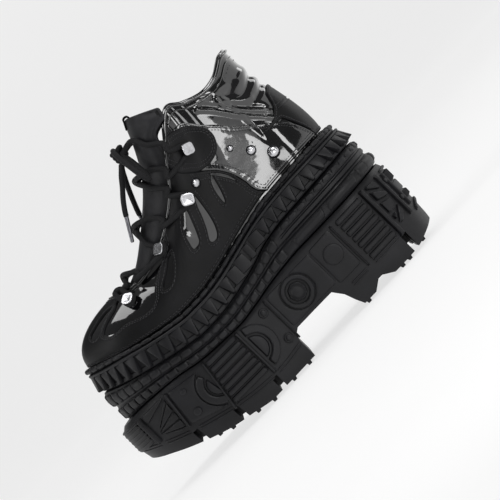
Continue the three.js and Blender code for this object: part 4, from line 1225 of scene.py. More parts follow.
# A wedge whose tip stands out at the foot, or a plain block over the waist.
def addTooth(bm, a, pitch):
    x = float(rimByArc(a)[0][0])
    foot, top = float(soleHeight("randFoot", x)), float(soleHeight("randTop", x))
    proud = float(edgeOffset("tooth", x) - edgeOffset("randBase", x))
    if rand["plain"][0] < x < rand["plain"][1]:
        half = pitch * (0.25 if rand["narrow"][0] < x < rand["narrow"][1] else 0.5)
        corners = [(half, foot + 1.5, -1), (half, top - 2, -1), (half, foot + 2.6, proud * 0.6),
                   (half, top - 3.2, 1.2)]
    else:
        half, tip = pitch * rand["fill"], foot + rand["tipLift"]
        corners = [(half, top - 2.0, -1), (half, top - 2.2, 0.9), (rand["tipHalf"], tip, proud),
                   (1.6, tip - 1.8, -0.5), (1.2, tip, -1)]
    points = [onRand(np.array([a + turn * wide]), z, np.array([out]))[0]
              for wide, z, out in corners for turn in (-1, 1)]
    addHull(bm, points, rand["toothRound"])


def makeRand():
    bm = bmesh.new()
    profile = rand["profile"]

    def shape(u, v):
        t = v * (len(profile) - 1)
        share = np.interp(t, np.arange(len(profile)), [p[0] for p in profile])
        out = np.interp(t, np.arange(len(profile)), [p[1] for p in profile])
        point, _ = rimByArc(u * girth)
        low, high = soleHeight("randFoot", point[:, 0]) + 0.2, soleHeight("randTop", point[:, 0])
        return onRand(u * girth, low + (high - low) * np.clip(share, 0, 1), out)

    addGrid(bm, rand["columns"], len(profile) - 1, shape)
    capEnds(bm)
    teeth = round(girth / boot["toothPitch"])
    for k in range(teeth):
        addTooth(bm, (k + 0.5) * girth / teeth, girth / teeth)
    return finishPiece("rand_toothed", bm, [rubber], ["rand"], sharp=32)


makeRand()
print("rand made")

# Welt: a rolled strip pinched into short pillows by its stitches.
weltStrip = {
    "pitch": 9.8, "pinch": 0.42, "halfGap": 0.9, "roll": 2.0, "columns": 940, "rows": 16,
    "stitchOut": -4.3, "stitchLift": -0.9, "stitchPitch": 4.6, "stitchSize": (3.4, 0.5),
}


# v runs from under the rim (to 0.30) over the roll (to 0.86) and in over the top.
def weltShape(u, v):
    count = round(girth / weltStrip["pitch"])
    phase = (u * count) % 1.0
    gap = np.minimum(phase, 1 - phase) * girth / count
    pillow = 1 - weltStrip["pinch"] * np.exp(-(gap / weltStrip["halfGap"]) ** 2)
    pillow = pillow * (0.9 + 0.1 * np.sin(phase * math.pi))
    point, normal = rimByArc(u * girth)
    x = point[:, 0]
    low, top = soleHeight("randTop", x) + 0.3, soleHeight("weltTop", x)
    quarter = math.pi / 2
    turn = np.interp(v, [0, 0.30, 0.72, 1.0], [-quarter, -quarter, quarter, 2.0])
    radius = weltStrip["roll"] * pillow
    out = np.where(v < 0.16, -3.0 + v * 8, -1.6)
    z = np.where(v < 0.16, low, low + 0.6)
    rolled = v >= 0.30
    out = np.where(rolled, -1.7 + radius * 0.95 * np.cos(turn), out)
    z = np.where(rolled, top - weltStrip["roll"] + radius * np.sin(turn), z)
    flatTop = v > 0.86
    out = np.where(flatTop, -3.2 - np.interp(v, [0.86, 1.0], [0, 1]) * 11, out)
    z = np.where(flatTop, top - 1.6, z)
    return np.column_stack([point + normal * out[:, None], z])


def weltLine(out, lift):
    point, normal = rimByArc(np.linspace(0, girth, 900, endpoint=False))
    z = soleHeight("weltTop", point[:, 0]) + lift
    return np.column_stack([point + normal * out, z])


# One stitch lying along X: a short fat thread with rounded ends sunk at both tips.
def stitchProto(length, radius):
    bm = bmesh.new()
    made = bmesh.ops.create_uvsphere(bm, u_segments=6, v_segments=5, radius=1)["verts"]
    bmesh.ops.rotate(bm, cent=(0, 0, 0), matrix=Matrix.Rotation(math.pi / 2, 3, "Y"), verts=made)
    bmesh.ops.scale(bm, vec=(length / 2, radius, radius), verts=made)
    return bm


def makeWelt():
    bm = bmesh.new()
    addGrid(bm, weltStrip["columns"], weltStrip["rows"], weltShape)
    bmesh.ops.bridge_loops(bm, edges=[e for e in bm.edges if e.is_boundary])
    finishPiece("welt_pinched", bm, [rubber], ["welt"], sharp=50)
    line = weltLine(weltStrip["stitchOut"], weltStrip["stitchLift"])
    path = evenly(line, weltStrip["stitchPitch"], closed=True)
    ahead = unit(np.roll(path, -1, axis=0) - path)
    up = (0, 0, 1)
    frames = [(point, np.stack([run, np.cross(up, run), up])) for point, run in zip(path, ahead)]
    bm = repeatedShape(stitchProto(*weltStrip["stitchSize"]), frames)
    finishPiece("welt_stitches", bm, [thread], sharp=60)


makeWelt()
print("welt made")

# Upper: patent base with its folds, lining inside.
# Folds and creases as soft ridges (+) and troughs (-): path, height and half width in mm.
creaseRows = [
    ("side", 1.7, 1.7, [(-77.8, 200.6), (-86.1, 191.3), (-98.5, 173.7), (-109.9, 160.3), (-117, 151)]),
    ("side", -1.5, 2.0, [(-83, 200.5), (-90.5, 191), (-101, 175), (-112.5, 161)]),
    ("side", 1.9, 1.6, [(-94.4, 195.5), (-94.8, 186), (-103.7, 173.7), (-118, 158)]),
    ("side", -1.1, 2.2, [(-97.5, 189), (-106, 176.5), (-116, 165)]),
    ("side", 1.2, 2.4, [(-98, 189.5), (-106, 182), (-115, 177)]),
    ("side", 0.8, 3.5, [(-86, 206), (-97, 200.5), (-108, 199)]),
    ("back", -1.9, 2.3, [(-37, 181), (-24, 184), (-12, 189.5), (0, 191), (12, 189.5), (24, 184), (37, 181)]),
    ("back", 1.1, 3.2, [(-36, 188), (-26, 191), (-12, 196.5), (0, 198), (12, 196.5), (26, 191), (36, 188)]),
    ("back", -1.6, 2.0, [(-35, 170), (-20, 175), (-8, 179), (0, 180), (8, 179), (20, 175), (35, 170)]),
    ("back", 0.9, 2.4, [(-34, 176), (-22, 180), (-8, 185), (0, 185.5), (8, 185), (22, 180), (34, 176)]),
    ("side", -0.9, 2.6, [(52, 135), (43, 129), (36, 122)]),
    ("side", -0.8, 2.6, [(8, 142), (2, 131), (-2, 120)]),
    ("side", 0.7, 2.6, [(2, 146), (-4, 133), (-8, 122)]),
]


shell = {"columns": 600, "rows": 140, "faceEnd": 0.62, "liningStart": 0.66, "rimRoll": 1.1, "footSeat": 0.06}


# Side creases fade out towards the heel and back creases away from it.
def creaseLift(points, place):
    fromHeel = np.minimum(place, 1 - place)
    views = {
        "side": ((0, 2), smoothStep(fromHeel, 0.045, 0.095)),
        "back": ((1, 2), 1 - smoothStep(fromHeel, 0.055, 0.11)),
    }
    lift = np.zeros(len(points))
    for view, height, width, path in creaseRows:
        axes, share = views[view]
        away = lineDistance(points[:, axes], openCurve(path, 24))
        lift += share * height * np.exp(-(away / width) ** 2)
    return lift


# v runs up the outer face, over the rim and down the lining.
def upperShape(u, v):
    split, around = shell["faceEnd"], shell["liningStart"]
    across = (v - split) / (around - split)
    height = np.where(v <= split, v / split, np.where(v >= around, (1 - v) / (1 - around), 1.0))
    depth = np.where(v <= split, 0, np.where(v >= around, boot["wall"], across * boot["wall"]))
    roll = np.where((v > split) & (v < around), np.sin(across * math.pi), 0)
    place = u % 1.0
    face = upperFace(place, height)
    lift = np.where(v < around, creaseLift(face, place), 0)
    seat = np.clip(height / shell["footSeat"], 0, 1)
    points = face + upperNormal(place, height) * (lift * seat - depth)[:, None]
    points[:, 2] += roll * shell["rimRoll"]
    return points


def makeUpper():
    bm = bmesh.new()
    addGrid(bm, shell["columns"], shell["rows"], upperShape)
    bmesh.ops.bridge_loops(bm, edges=[e for e in bm.edges if e.is_boundary])
    cleanShells(bm)
    for face in bm.faces:      # the lining is what faces inwards
        middle = face.calc_center_median()
        out = Vector((middle.x - min(middle.x, -20), middle.y, 0))
        face.material_index = 1 if face.normal.dot(out) < 0 and face.normal.z < 0.7 else 0
    return finishPiece("upper_shell", bm, [patent, lining], ["upper"], sharp=60)


makeUpper()
print("upper made")

# Overlays.
quarterSeam = [(-70.6, 117.4), (-66.5, 122), (-64.4, 128.2), (-63.9, 135.5), (-61.3, 145.8), (-56.1, 155.1),
               (-47.9, 163.4), (-41, 169)]
ankleSeam = [(-54, 203.0), (-67.5, 196.4), (-78.9, 183), (-89.2, 170.6), (-101.6, 159.2), (-114, 150),
             (-120.2, 142.7), (-125.4, 132.4), (-128.5, 120.5)]
bigFlame = [(14, 147.5), (17, 142), (22, 139.5), (35, 134), (41, 130.5), (46, 127), (50, 123), (55, 119.8),
            (60, 118.8), (68, 120.5), (75, 123), (82, 124.8), (92, 125.8), (96.5, 127), (99, 131),
            (94, 134.6), (85, 137.2), (78, 139), (74, 141)]
# Openings in the vamp, showing the patent under it: flame tongues from front to back.
flames = {
    "toe": [(109.7, 135), (107.4, 132.6), (101, 133.8), (94, 136.6), (86, 139.3), (79, 141), (86, 142.0),
            (95, 141.0), (103, 139.2), (108, 137.6)],
    "curl": [(40.6, 122.6), (38, 120.4), (33, 120.7), (27, 124.7), (20.5, 131), (16.5, 137), (20, 137),
             (25, 133.4), (31, 129.2), (37, 126)],
    "notch": [(1.5, 128.2), (-1.6, 126.8), (-5, 128.6), (-8.6, 134), (-12, 142), (-15.5, 150.5), (-16.5, 156),
              (-12, 152.6), (-6.5, 148), (-1.0, 138)],
    "curlRear": [(-11.6, 123), (-14, 120.2), (-18.4, 121.4), (-22.6, 128), (-25.4, 137), (-27.4, 147),
                 (-28.6, 156), (-24.5, 149), (-20.8, 140), (-16.5, 131)],
    "leaf": [(-41.2, 135.0), (-44.4, 141), (-47.0, 149), (-49.0, 157.4), (-45.2, 153), (-42.2, 145.5)],
    "sliver": [(-48.4, 158.6), (-52.6, 153.3), (-56.8, 146.5), (-59.4, 140.6), (-58.8, 146.2), (-55.6, 152.4),
               (-51.6, 157.6)],
}
# How far each overlay stands off the upper.
layers = {"vamp": 1.1, "quarter": 1.5, "lobe": 2.1, "counter": 1.8, "sink": -0.5}
rimRise = flatRise * 0.985      # just under the collar's edge
seamInsets = (2.3, 4.2)         # the two rows of stitches inside an edge
stitchZone = (0.035, 0.975)     # heights on the upper between which seams show
footRise = 1.2                  # where the panels start, over the upper's foot
stitchSpots = []


# Rows of stitches inside an outline laid flat, skipping where the outline turns back on itself.
def stitchAlong(ring, inset, out, pitch=2.7, length=2.0, closed=True, inwards=None):
    inwards = ringNormals(ring) if inwards is None else inwards
    line = evenly(ring + inwards * inset, pitch, closed=closed)
    away = lineDistance(line, ring, closed=closed)
    ahead = unit(np.roll(line, -1, axis=0) - line) if closed else unit(np.gradient(line, axis=0))
    keep = away > abs(inset) * 0.9
    start, end = line - ahead * length / 2, line + ahead * length / 2
    height = np.clip(line[:, 1] / flatRise, 0.0, 1.0)
    keep &= (height > stitchZone[0]) & (height < stitchZone[1])
    a, b = onUpper(start, out), onUpper(end, out)
    normal = upperNormal(line[:, 0] / flatGirth, height)
    for k in np.flatnonzero(keep):
        stitchSpots.append((a[k], b[k], normal[k]))


# The usual double seam inside an edge.
def stitchTwice(ring, out):
    for inset in seamInsets:
        stitchAlong(ring, inset, out)


# The vamp's edge: foot, rear seams, throat and the two front windows.
def vampRing():
    foot = 1.4
    halves = {}
    for name, side in sides.items():
        seam = spotsOnUpper(quarterSeam, "side", side)
        window = spotsOnUpper(bigFlame, "side", side)
        top = np.array([(seam[-1][0] + (window[0][0] - seam[-1][0]) * t, rimRise)
                        for t in np.linspace(0.02, 0.98, 14)])
        halves[name] = (seam, window, top)
    seam, window, top = halves["lateral"]
    start, end = seam[0][0], halves["medial"][0][0][0]
    base = np.array([(u, foot) for u in np.linspace(start, end, 80)])
    medialSeam, medialWindow, medialTop = halves["medial"]
    front = np.array([(u, rimRise) for u in np.linspace(medialWindow[-1][0], window[-1][0], 16)])
    return np.vstack([base, openCurve(medialSeam, 40)[1:], medialTop, openCurve(medialWindow, 90), front,
                      openCurve(window, 90)[::-1], top[::-1], openCurve(seam, 40)[::-1][:-1]])


# A puffed edge: the leather swells between its rim and each row of stitches.
def puffed(height):
    def crown(flat, away):
        ridge = np.exp(-((away - 1.1) / 0.7) ** 2) * height
        groove = np.exp(-((away - 2.3) / 0.45) ** 2) * height * 0.9
        second = np.exp(-((away - 4.2) / 0.45) ** 2) * height * 0.6
        return ridge - groove - second
    return crown


def makeVamp():
    bm = bmesh.new()
    ring = vampRing()
    holes = []
    for side in sides.values():
        holes += [smoothRing(spotsOnUpper(points, "side", side), 1.2) for points in flames.values()]
    addPatch(bm, ring, onUpper, layers["sink"], layers["vamp"], 1.35, 0.9, 0.7, holes, puffed(0.28))
    finishPiece("vamp_overlay", bm, [matte], sharp=60)
    stitchTwice(evenly(ring, 1.2, closed=True), layers["vamp"] + 0.1)
    for hole in holes:
        stitchAlong(hole, -2.0, layers["vamp"] + 0.1)


def makeQuarters():
    for name, side in sides.items():
        bm = bmesh.new()
        seam, ankle = spotsOnUpper(quarterSeam, "side", side), spotsOnUpper(ankleSeam, "side", side)
        front = np.array([(seam[-1][0] + (ankle[0][0] - seam[-1][0]) * t, rimRise)
                          for t in np.linspace(0.15, 0.96, 10)])
        base = np.array([(ankle[-1][0] + (seam[0][0] - ankle[-1][0]) * t, footRise)
                         for t in np.linspace(0, 1, 20)])
        ring = np.vstack([openCurve(seam, 40), front, openCurve(ankle, 60), base[1:-1]])
        ring = evenly(ring, 1.3, closed=True)
        addPatch(bm, ring, onUpper, layers["sink"], layers["quarter"], 1.6, 0.9, 0.8, crown=puffed(0.22))
        finishPiece(f"quarter_{name}", bm, [patent], sharp=60)
        stitchTwice(ring, layers["quarter"] + 0.08)


lobe = [(-45.5, 203.0), (-40.5, 197.5), (-34.5, 190.5), (-30.5, 183.5), (-33.5, 175.5), (-41.5, 168),
        (-50, 164.8), (-58.5, 164.6), (-66.5, 168), (-71.8, 174.6), (-73.2, 182), (-70.6, 190),
        (-64.8, 196.6), (-57.5, 200.8), (-50.5, 203.4)]


def makeLobes():
    for name, side in sides.items():
        bm = bmesh.new()
        ring = smoothRing(spotsOnUpper(lobe, "side", side), 1.2)
        ring[:, 1] = np.minimum(ring[:, 1], rimRise)
        addPatch(bm, ring, onUpper, layers["sink"], layers["lobe"], 1.6, 1.0, 0.9, crown=puffed(0.25))
        finishPiece(f"lobe_{name}", bm, [matte], sharp=60)
        stitchTwice(ring, layers["lobe"] + 0.08)


counter = {
    "edge": [(-119.5, 148.5), (-124.6, 137), (-128, 126)],
    "shoulder": [(34, 150.5), (27, 152.5), (22.5, 158), (19.5, 165), (16.5, 171), (9, 174.4), (0.5, 175.2)],
    "seamHeight": 157.5,
}


# Matte heel counter: a panel to the sides and a taller tab at the middle.
def makeCounter():
    bm = bmesh.new()
    halves = []
    for side in (1, -1):
        edge = spotsOnUpper(counter["edge"], "side", side)
        edge[:, 0] = np.where(edge[:, 0] > flatGirth / 2, edge[:, 0] - flatGirth, edge[:, 0])
        shoulder = spotsOnUpper([(side * y, z) for y, z in counter["shoulder"]], "back")
        halves.append(np.vstack([edge[::-1], shoulder]))
    base = np.array([(u, footRise) for u in np.linspace(halves[1][0][0], halves[0][0][0], 30)])
    ring = evenly(np.vstack([halves[0], halves[1][::-1], base]), 1.3, closed=True)
    seam = spotsOnUpper([(y, counter["seamHeight"] - 1.6 * math.cos(y / 22 * 1.4))
                         for y in np.linspace(-22, 22, 12)], "back")

    def crown(flat, away):
        near = lineDistance(flat, seam)
        middle = np.abs(flat[:, 0])
        return (puffed(0.25)(flat, away) - 0.7 * np.exp(-(near / 0.9) ** 2)
                - 0.25 * np.exp(-(middle / 1.2) ** 2))

    addPatch(bm, ring, onUpper, layers["sink"], layers["counter"], 1.5, 1.0, 0.9, crown=crown)
    finishPiece("counter_panel", bm, [matte], ["heel_counter"], sharp=60)
    stitchAlong(ring, seamInsets[0], layers["counter"] + 0.08)
    for lift in (-1.6, 1.6):
        line = evenly(seam, 1.0) + (0, lift)
        stitchAlong(line, 0.0, layers["counter"] + 0.08, closed=False, inwards=np.zeros_like(line))


# Height on the upper, stand-out and radius of the collar's two rolls.
collar = {"rolls": [(0.985, 0.9, 1.35, 12), (0.945, 0.25, 0.75, 8)], "seam": 0.915, "rear": 0.24}


# Rolled piping round the collar and throat, with a line of stitches below it.
def makeCollar():
    bm = bmesh.new()
    places = np.linspace(0, 1, 700, endpoint=False)
    for height, out, radius, around in collar["rolls"]:
        addTube(bm, upperPoint(places, height, out), radius, around, closed=True, spacing=1.2)
    finishPiece("collar_piping", bm, [patent], sharp=60)
    line = np.column_stack([places * flatGirth, np.full(len(places), collar["seam"] * flatRise)])
    rear = line[(places < collar["rear"]) | (places > 1 - collar["rear"])]
    rear[:, 0] = np.where(rear[:, 0] > flatGirth / 2, rear[:, 0] - flatGirth, rear[:, 0])
    rear = rear[np.argsort(rear[:, 0])]
    stitchAlong(rear, 0.0, 0.15, closed=False, inwards=np.zeros_like(rear))


def makeStitches():
    proto = stitchProto(1.0, 0.34)
    frames = []
    for a, b, normal in stitchSpots:
        run = b - a
        length = np.linalg.norm(run)
        run = run / length
        across = np.cross(normal, run)
        frames.append(((a + b) / 2, np.stack([run * length, across, normal])))
    finishPiece("upper_stitches", repeatedShape(proto, frames), [thread], sharp=80)
    print("stitches:", len(frames))


makeVamp()
makeQuarters()
makeLobes()
makeCounter()
makeCollar()
makeStitches()
print("overlays made")

# Tongue.
tongueAt = np.linspace(0, len(tongueRows) - 1, 801)
tongueTable = {
    name: columnTable(np.arange(len(tongueRows)), [r[k] for r in tongueRows], tongueAt)
    for k, name in enumerate(tongueColumns)
}


tongueTrim = {
    "tip": 0.045, "rimAngle": 74, "rimSpread": 5, "rimDip": 0.7, "quilt": 0.5,
    "piping": 1.3, "padding": 0.5, "columns": 96, "rows": 150,
    "loopRun": (7.1, 7.5, 7.85), "loop": ((0.2, 0, 1.3), (-2.0, 0, 1.8), (-3.9, 0, 0.2), (-4.6, 0, -8)),
    "webHalf": 10, "webThick": 0.75, "webSteps": 60,
}


# A point of the tongue: row up it, angle round its crown and distance off its face.
def tonguePoint(at, angle, out):
    at, angle, out = np.broadcast_arrays(*(np.asarray(a, float) for a in (at, angle, out)))

    def value(name, where):
        return np.interp(where, tongueAt, tongueTable[name])

    low, high = np.maximum(at - 0.05, 0), np.minimum(at + 0.05, tongueAt[-1])
    run = unit(np.stack([value("x", high) - value("x", low), value("z", high) - value("z", low)], axis=-1))
    phi = np.radians(angle)
    back = value("depth", at) * (1 - np.cos(phi)) - out * np.cos(phi)
    x = value("x", at) - run[..., 1] * back
    z = value("z", at) + run[..., 0] * back
    return np.stack([x, (value("half", at) + out) * np.sin(phi) + value("drift", at), z], axis=-1)


# u runs round the tongue's section, over the face and back under the lining; v runs up it.
def tongueShape(u, v):
    at = v * tongueAt[-1]
    turn = u * 2 * math.pi
    angle = -90 * np.cos(turn)
    tip = tongueTrim["tip"]
    taper = np.sqrt(np.clip(1 - np.clip((v - (1 - tip)) / tip, 0, 1) ** 2, 0.02, 1))
    thick = np.interp(at, tongueAt, tongueTable["thick"]) * taper
    side = np.sin(turn)
    swell = np.sign(side) * np.abs(side) ** 0.4
    rim = np.exp(-((np.abs(angle) - tongueTrim["rimAngle"]) / tongueTrim["rimSpread"]) ** 2)
    crown = tongueTrim["quilt"] * np.cos(np.radians(angle)) ** 2 * smoothStep(at, 5.5, 7)
    quilt = np.where(side > 0, crown - tongueTrim["rimDip"] * rim, 0)
    out = -thick / 2 + swell * thick / 2 + quilt * taper
    return tonguePoint(at, angle, out)


def makeTongue():
    bm = bmesh.new()
    addGrid(bm, tongueTrim["columns"], tongueTrim["rows"], tongueShape)
    capEnds(bm)
    cleanShells(bm)
    for face in bm.faces:
        middle = face.calc_center_median()
        face.material_index = 1 if face.normal.x < -0.1 and middle.z > 150 and abs(middle.y) < 46 else 0
    piece = finishPiece("tongue_padded", bm, [nappa, lining], ["tongue"], sharp=70)
    bm = bmesh.new()
    edge = [tonguePoint(np.linspace(4.6, 7.9, 30), -88, -1.6),
            tonguePoint(np.full(40, 7.93), np.linspace(-86, 86, 40), -1.4),
            tonguePoint(np.linspace(7.9, 4.6, 30), 88, -1.6)]
    addTube(bm, np.vstack(edge), tongueTrim["piping"], around=10, spacing=1.0)
    finishPiece("tongue_piping", bm, [nappa], sharp=70)


def makePullLoop():
    steps = tongueTrim["webSteps"]
    run = [tonguePoint(at, 0, 0.7) for at in tongueTrim["loopRun"]]
    run += [tonguePoint(8, 0, 0) + p for p in tongueTrim["loop"]]
    path = openCurve(run, steps)
    tangent = unit(np.gradient(path, axis=0))
    out = np.stack([tangent[:, 2], np.zeros(steps), -tangent[:, 0]], axis=1)

    def shape(u, v):
        k = np.clip(np.round(u * (steps - 1)).astype(int), 0, steps - 1)
        across, through = np.cos(v * 2 * math.pi), np.sin(v * 2 * math.pi)
        wide = np.sign(across) * np.abs(across) ** 0.35 * tongueTrim["webHalf"]
        thick = np.sign(through) * np.abs(through) ** 0.5 * tongueTrim["webThick"]
        points = path[k] + out[k] * thick[:, None]
        points[:, 1] += wide
        return points

    bm = bmesh.new()
    addGrid(bm, steps - 1, 40, shape, (46, 44))
    capEnds(bm)
    finishPiece("pull_loop_webbing", bm, [webbing], ["pull_loop"], sharp=60)


makeTongue()
makePullLoop()
print("tongue made")


# Insole: a footbed with a turned-up edge, dished towards its middle line.
footbed = {"gap": 1.0, "edge": 0.08, "rimEnd": 0.85, "dish": 0.9, "spine": (-112, 106)}


def insoleShape(u, v):
    inset, drift = closedCurve(upperLoops, u)[:, :2].T
    rim, normal = rimAt(u)
    share = np.clip(v / footbed["rimEnd"], 0, 1)
    foot = rim - normal * (inset + boot["wall"] + footbed["gap"])[:, None]
    foot[:, 1] += drift
    spine = np.column_stack([np.clip(foot[:, 0], *footbed["spine"]), np.zeros(len(foot)) - 1.0])
    flat = foot + (spine - foot) * share[:, None]
    level, under = soleHeight("weltTop", flat[:, 0]), soleHeight("randTop", flat[:, 0])
    edge = under + 0.6 + (level + 1.2 - under) * v / footbed["edge"]
    bed = level + 2 - footbed["dish"] * smoothStep(share, 0.15, 0.7)
    return np.column_stack([flat, np.where(v < footbed["edge"], edge, bed)])


def makeInsole():
    bm = bmesh.new()
    addGrid(bm, 220, 30, insoleShape)
    capEnds(bm)
    finishPiece("insole_sock", bm, [lining], ["insole"], sharp=60)


makeInsole()

# Hooks and rivets.
hardware = {
    "hooks": [(65, 133), (18, 143), (-22.5, 158.5), (-48, 186)],
    "rivets": [(-36, 162, 3.4), (-74, 161.4, 2.3), (-84.5, 148.5, 3.4), (-96, 135, 4.3)],
    "width": 10.6, "length": 9.6, "cap": 1.3, "throat": 4.6, "base": 0.8, "post": 1.8, "stand": 0.9,
    "corner": 3.0, "dome": 0.25, "hookSteps": 20, "rivetSteps": 28,
}


# Where a fitting sits: X across, Y up the shoe and Z out of the leather.
def seatMatrix(spot, stand):
    place, height = spot[0] / flatGirth, spot[1] / flatRise
    out = upperNormal(np.array([place]), np.array([height]))[0]
    up = (upperFace(place, min(1, height + 0.02)) - upperFace(place, max(0, height - 0.02)))
    up = unit((up - out * np.dot(up, out))[None])[0]
    across = np.cross(up, out)
    origin = upperPoint(np.array([place]), np.array([height]), np.array([stand]))[0]
    matrix = Matrix([list(across) + [0], list(up) + [0], list(out) + [0], [0, 0, 0, 1]]).transposed()
    return Matrix.Translation(Vector(origin)) @ matrix


# A plate with rounded corners and rims, and a shallow dome on top.
def addRoundedPlate(bm, width, length, thick, corner, low, dome=0.0):
    made = bmesh.ops.create_cube(bm, size=1)["verts"]
    bmesh.ops.scale(bm, vec=(width, length, thick), verts=made)
    bmesh.ops.translate(bm, vec=(0, 0, low + thick / 2), verts=made)
    upright = list({e for v in made for e in v.link_edges
                    if abs(e.verts[0].co.z - e.verts[1].co.z) > thick * 0.5})
    turned = bmesh.ops.bevel(bm, geom=upright, offset=corner, segments=6, profile=0.5, material=-1,
                             affect="EDGES")
    faces = {f for v in turned["verts"] for f in v.link_faces}
    caps = [f for f in faces if abs(f.normal.z) > 0.9]
    rims = list({e for f in caps for e in f.edges})
    bmesh.ops.bevel(bm, geom=rims, offset=thick * 0.38, segments=3, profile=0.5, material=-1, affect="EDGES")
    if dome:
        top = max(bm.faces, key=lambda f: f.calc_center_median().z)
        bmesh.ops.inset_region(bm, faces=[top], thickness=width * 0.16, depth=-dome)
        bmesh.ops.inset_region(bm, faces=[top], thickness=width * 0.08, depth=-dome * 0.5)


# A square plate on a turned post.
def makeHook(name, spot, node):
    h = hardware
    bm = bmesh.new()
    addRoundedPlate(bm, h["width"], h["length"], h["cap"], h["corner"], h["base"] + h["throat"], h["dome"])
    post = [(0, 0.1), (h["width"] * 0.33, 0.1), (h["width"] * 0.34, 0.5), (h["width"] * 0.3, h["base"]),
            (h["post"] * 1.25, h["base"] + 0.2), (h["post"], h["base"] + 0.9),
            (h["post"], h["base"] + h["throat"] - 0.8), (h["post"] * 1.3, h["base"] + h["throat"] + 0.2),
            (0, h["base"] + h["throat"] + 0.3)]
    addSpun(bm, post, h["hookSteps"])
    bmesh.ops.transform(bm, matrix=seatMatrix(spot, h["stand"]), verts=bm.verts[:])
    finishPiece(name, bm, [steel], [node], sharp=50)


# A domed rivet in a shallow washer.
def makeRivet(name, spot, radius, layer, node):
    outline = [(0, -0.4), (1.22, -0.4), (1.22, 0.25), (1.12, 0.5), (1.0, 0.42), (0.97, 0.75), (0.8, 1.35),
               (0.5, 1.75), (0, 1.95)]
    profile = [(radius * share, z) for share, z in outline]
    bm = bmesh.new()
    addSpun(bm, profile, hardware["rivetSteps"])
    for face in bm.faces:
        middle = face.calc_center_median()
        face.material_index = 1 if math.hypot(middle.x, middle.y) > radius * 0.99 else 0
    bmesh.ops.transform(bm, matrix=seatMatrix(spot, layer), verts=bm.verts[:])
    finishPiece(name, bm, [steel, blackened], [node], sharp=50)


hookSpots = {}
for sideName, sideSign in sides.items():
    hookSpots[sideName] = []
    for number, (x, z) in enumerate(hardware["hooks"], 1):
        spot = spotsOnUpper([(x, z)], "side", sideSign)[0]
        hookSpots[sideName].append(spot)
        makeHook(f"hook_{sideName}_{number}", spot, f"lace_hook_{sideName}_{number}")
    for number, (x, z, radius) in enumerate(hardware["rivets"], 1):
        spot = spotsOnUpper([(x, z)], "side", sideSign)[0]
        layer = layers["vamp"] if number == 1 else layers["quarter"]
        makeRivet(f"rivet_head_{sideName}_{number}", spot, radius, layer + 0.1, f"rivet_{sideName}_{number}")
print("hooks and rivets made")

# Laces: two halves, crossing from hook to hook up to the knot.
lacing = {
    "cross": [(1.55, 4.6), (3.0, 3.0), (4.6, 2.9)],     # place up the tongue, height over it
    "over": {"lateral": (0, 3.0, 0), "medial": (3.0, 0, 3.0)},      # extra height where it is on top
    "barAt": 0.85, "barLift": 5.4, "topAt": 5.75, "topLift": 3.4, "slant": 0.0067,
    "wrap": (-70, -25, 25, 70), "postGap": 0.25, "rimLift": 3.4, "rimSink": 0.6, "sideLift": 5.0,
    "sideHeight": 0.94,
}


# Round a hook's post, outside it, at mid throat: in from below, out above.
def aroundPost(side, number):
    h = hardware
    spot = hookSpots[side][number]
    seat = seatMatrix(spot, h["stand"] + h["base"] + h["throat"] / 2)
    reach = h["post"] + boot["laceRadius"] + lacing["postGap"]
    points = []
    for degrees in lacing["wrap"]:
        turn = math.radians(degrees)
        local = Vector((math.cos(turn) * reach, math.sin(turn) * reach, 0))
        away = (seat @ local) - seat.translation
        if (side == "lateral") == (away.y < 0 and abs(away.x) < abs(away.y)):
            local.x = -local.x
        points.append(np.array(seat @ local))
    return points


# Two points that carry the lace over the throat's edge, from the tongue outwards.
def overRim(beside, side):
    places = np.linspace(0.005, 0.495, 197)
    places = places if side == "lateral" else 1 - places
    edge = upperFace(places, 1.0)
    near = places[np.argmin(np.linalg.norm(edge - beside, axis=1))]
    run = unit((upperFace(near, 1.0) - upperFace(near, 0.95))[None])[0]
    one = np.array([near])
    above = upperPoint(one, np.array([1.0]), lacing["rimLift"])[0]
    outside = upperPoint(one, np.array([lacing["sideHeight"]]), lacing["sideLift"])[0]
    return [above + run * (boot["laceRadius"] - lacing["rimSink"]), outside]


# One end of the lace, from the bar over the toe, hook by hook, to the knot.
def laceHalf(side):
    other = {"lateral": "medial", "medial": "lateral"}
    lifts, sign = lacing["over"][side], sides[side]
    path = [tonguePoint(lacing["barAt"], sign * a, lacing["barLift"] - 0.02 * a) for a in (0, 18, 35, 50)]
    path += [*overRim(path[-1], side), *aroundPost(side, 0)]
    for k, (at, lift) in enumerate(lacing["cross"]):
        strand = [tonguePoint(at - turn * lacing["slant"] * a, sign * turn * a,
                              lift + lifts[k] * (1 - a / 52) ** 0.5)
                  for turn, a in ((1, 52), (1, 34), (1, 16), (1, 0), (-1, 16), (-1, 34), (-1, 52))]
        path += [*overRim(strand[0], side)[::-1], *strand]
        side, sign = other[side], -sign
        path += [*overRim(strand[-1], side), *aroundPost(side, k + 1)]
    flank = tonguePoint(lacing["topAt"], sign * 66, lacing["topLift"])
    path += [*overRim(flank, side)[::-1], flank]
    path.append(tonguePoint(lacing["topAt"] + 0.4, sign * 34, lacing["topLift"] + 0.4))
    path.append(np.array(bow["knot"]["at"]) + (-1.5, sign * 4.5, -2.0))
    return np.array(path)


def makeLaces():
    bm = bmesh.new()
    for side in sides:
        addTube(bm, openCurve(laceHalf(side), 500), boot["laceRadius"])
    finishPiece("lace_run", bm, [cordage],
                ["lace_cross_1", "lace_cross_2", "lace_cross_3", "lace_top"])


makeLaces()
print("laces made")

# Studio.
studio = {
    "reach": 3.0, "curve": 0.8, "height": 1.1, "from": 160, "to": 380, "world": 0.13, "overlap": 0.6,
    "middle": (-0.03, 0, 0.12),
}
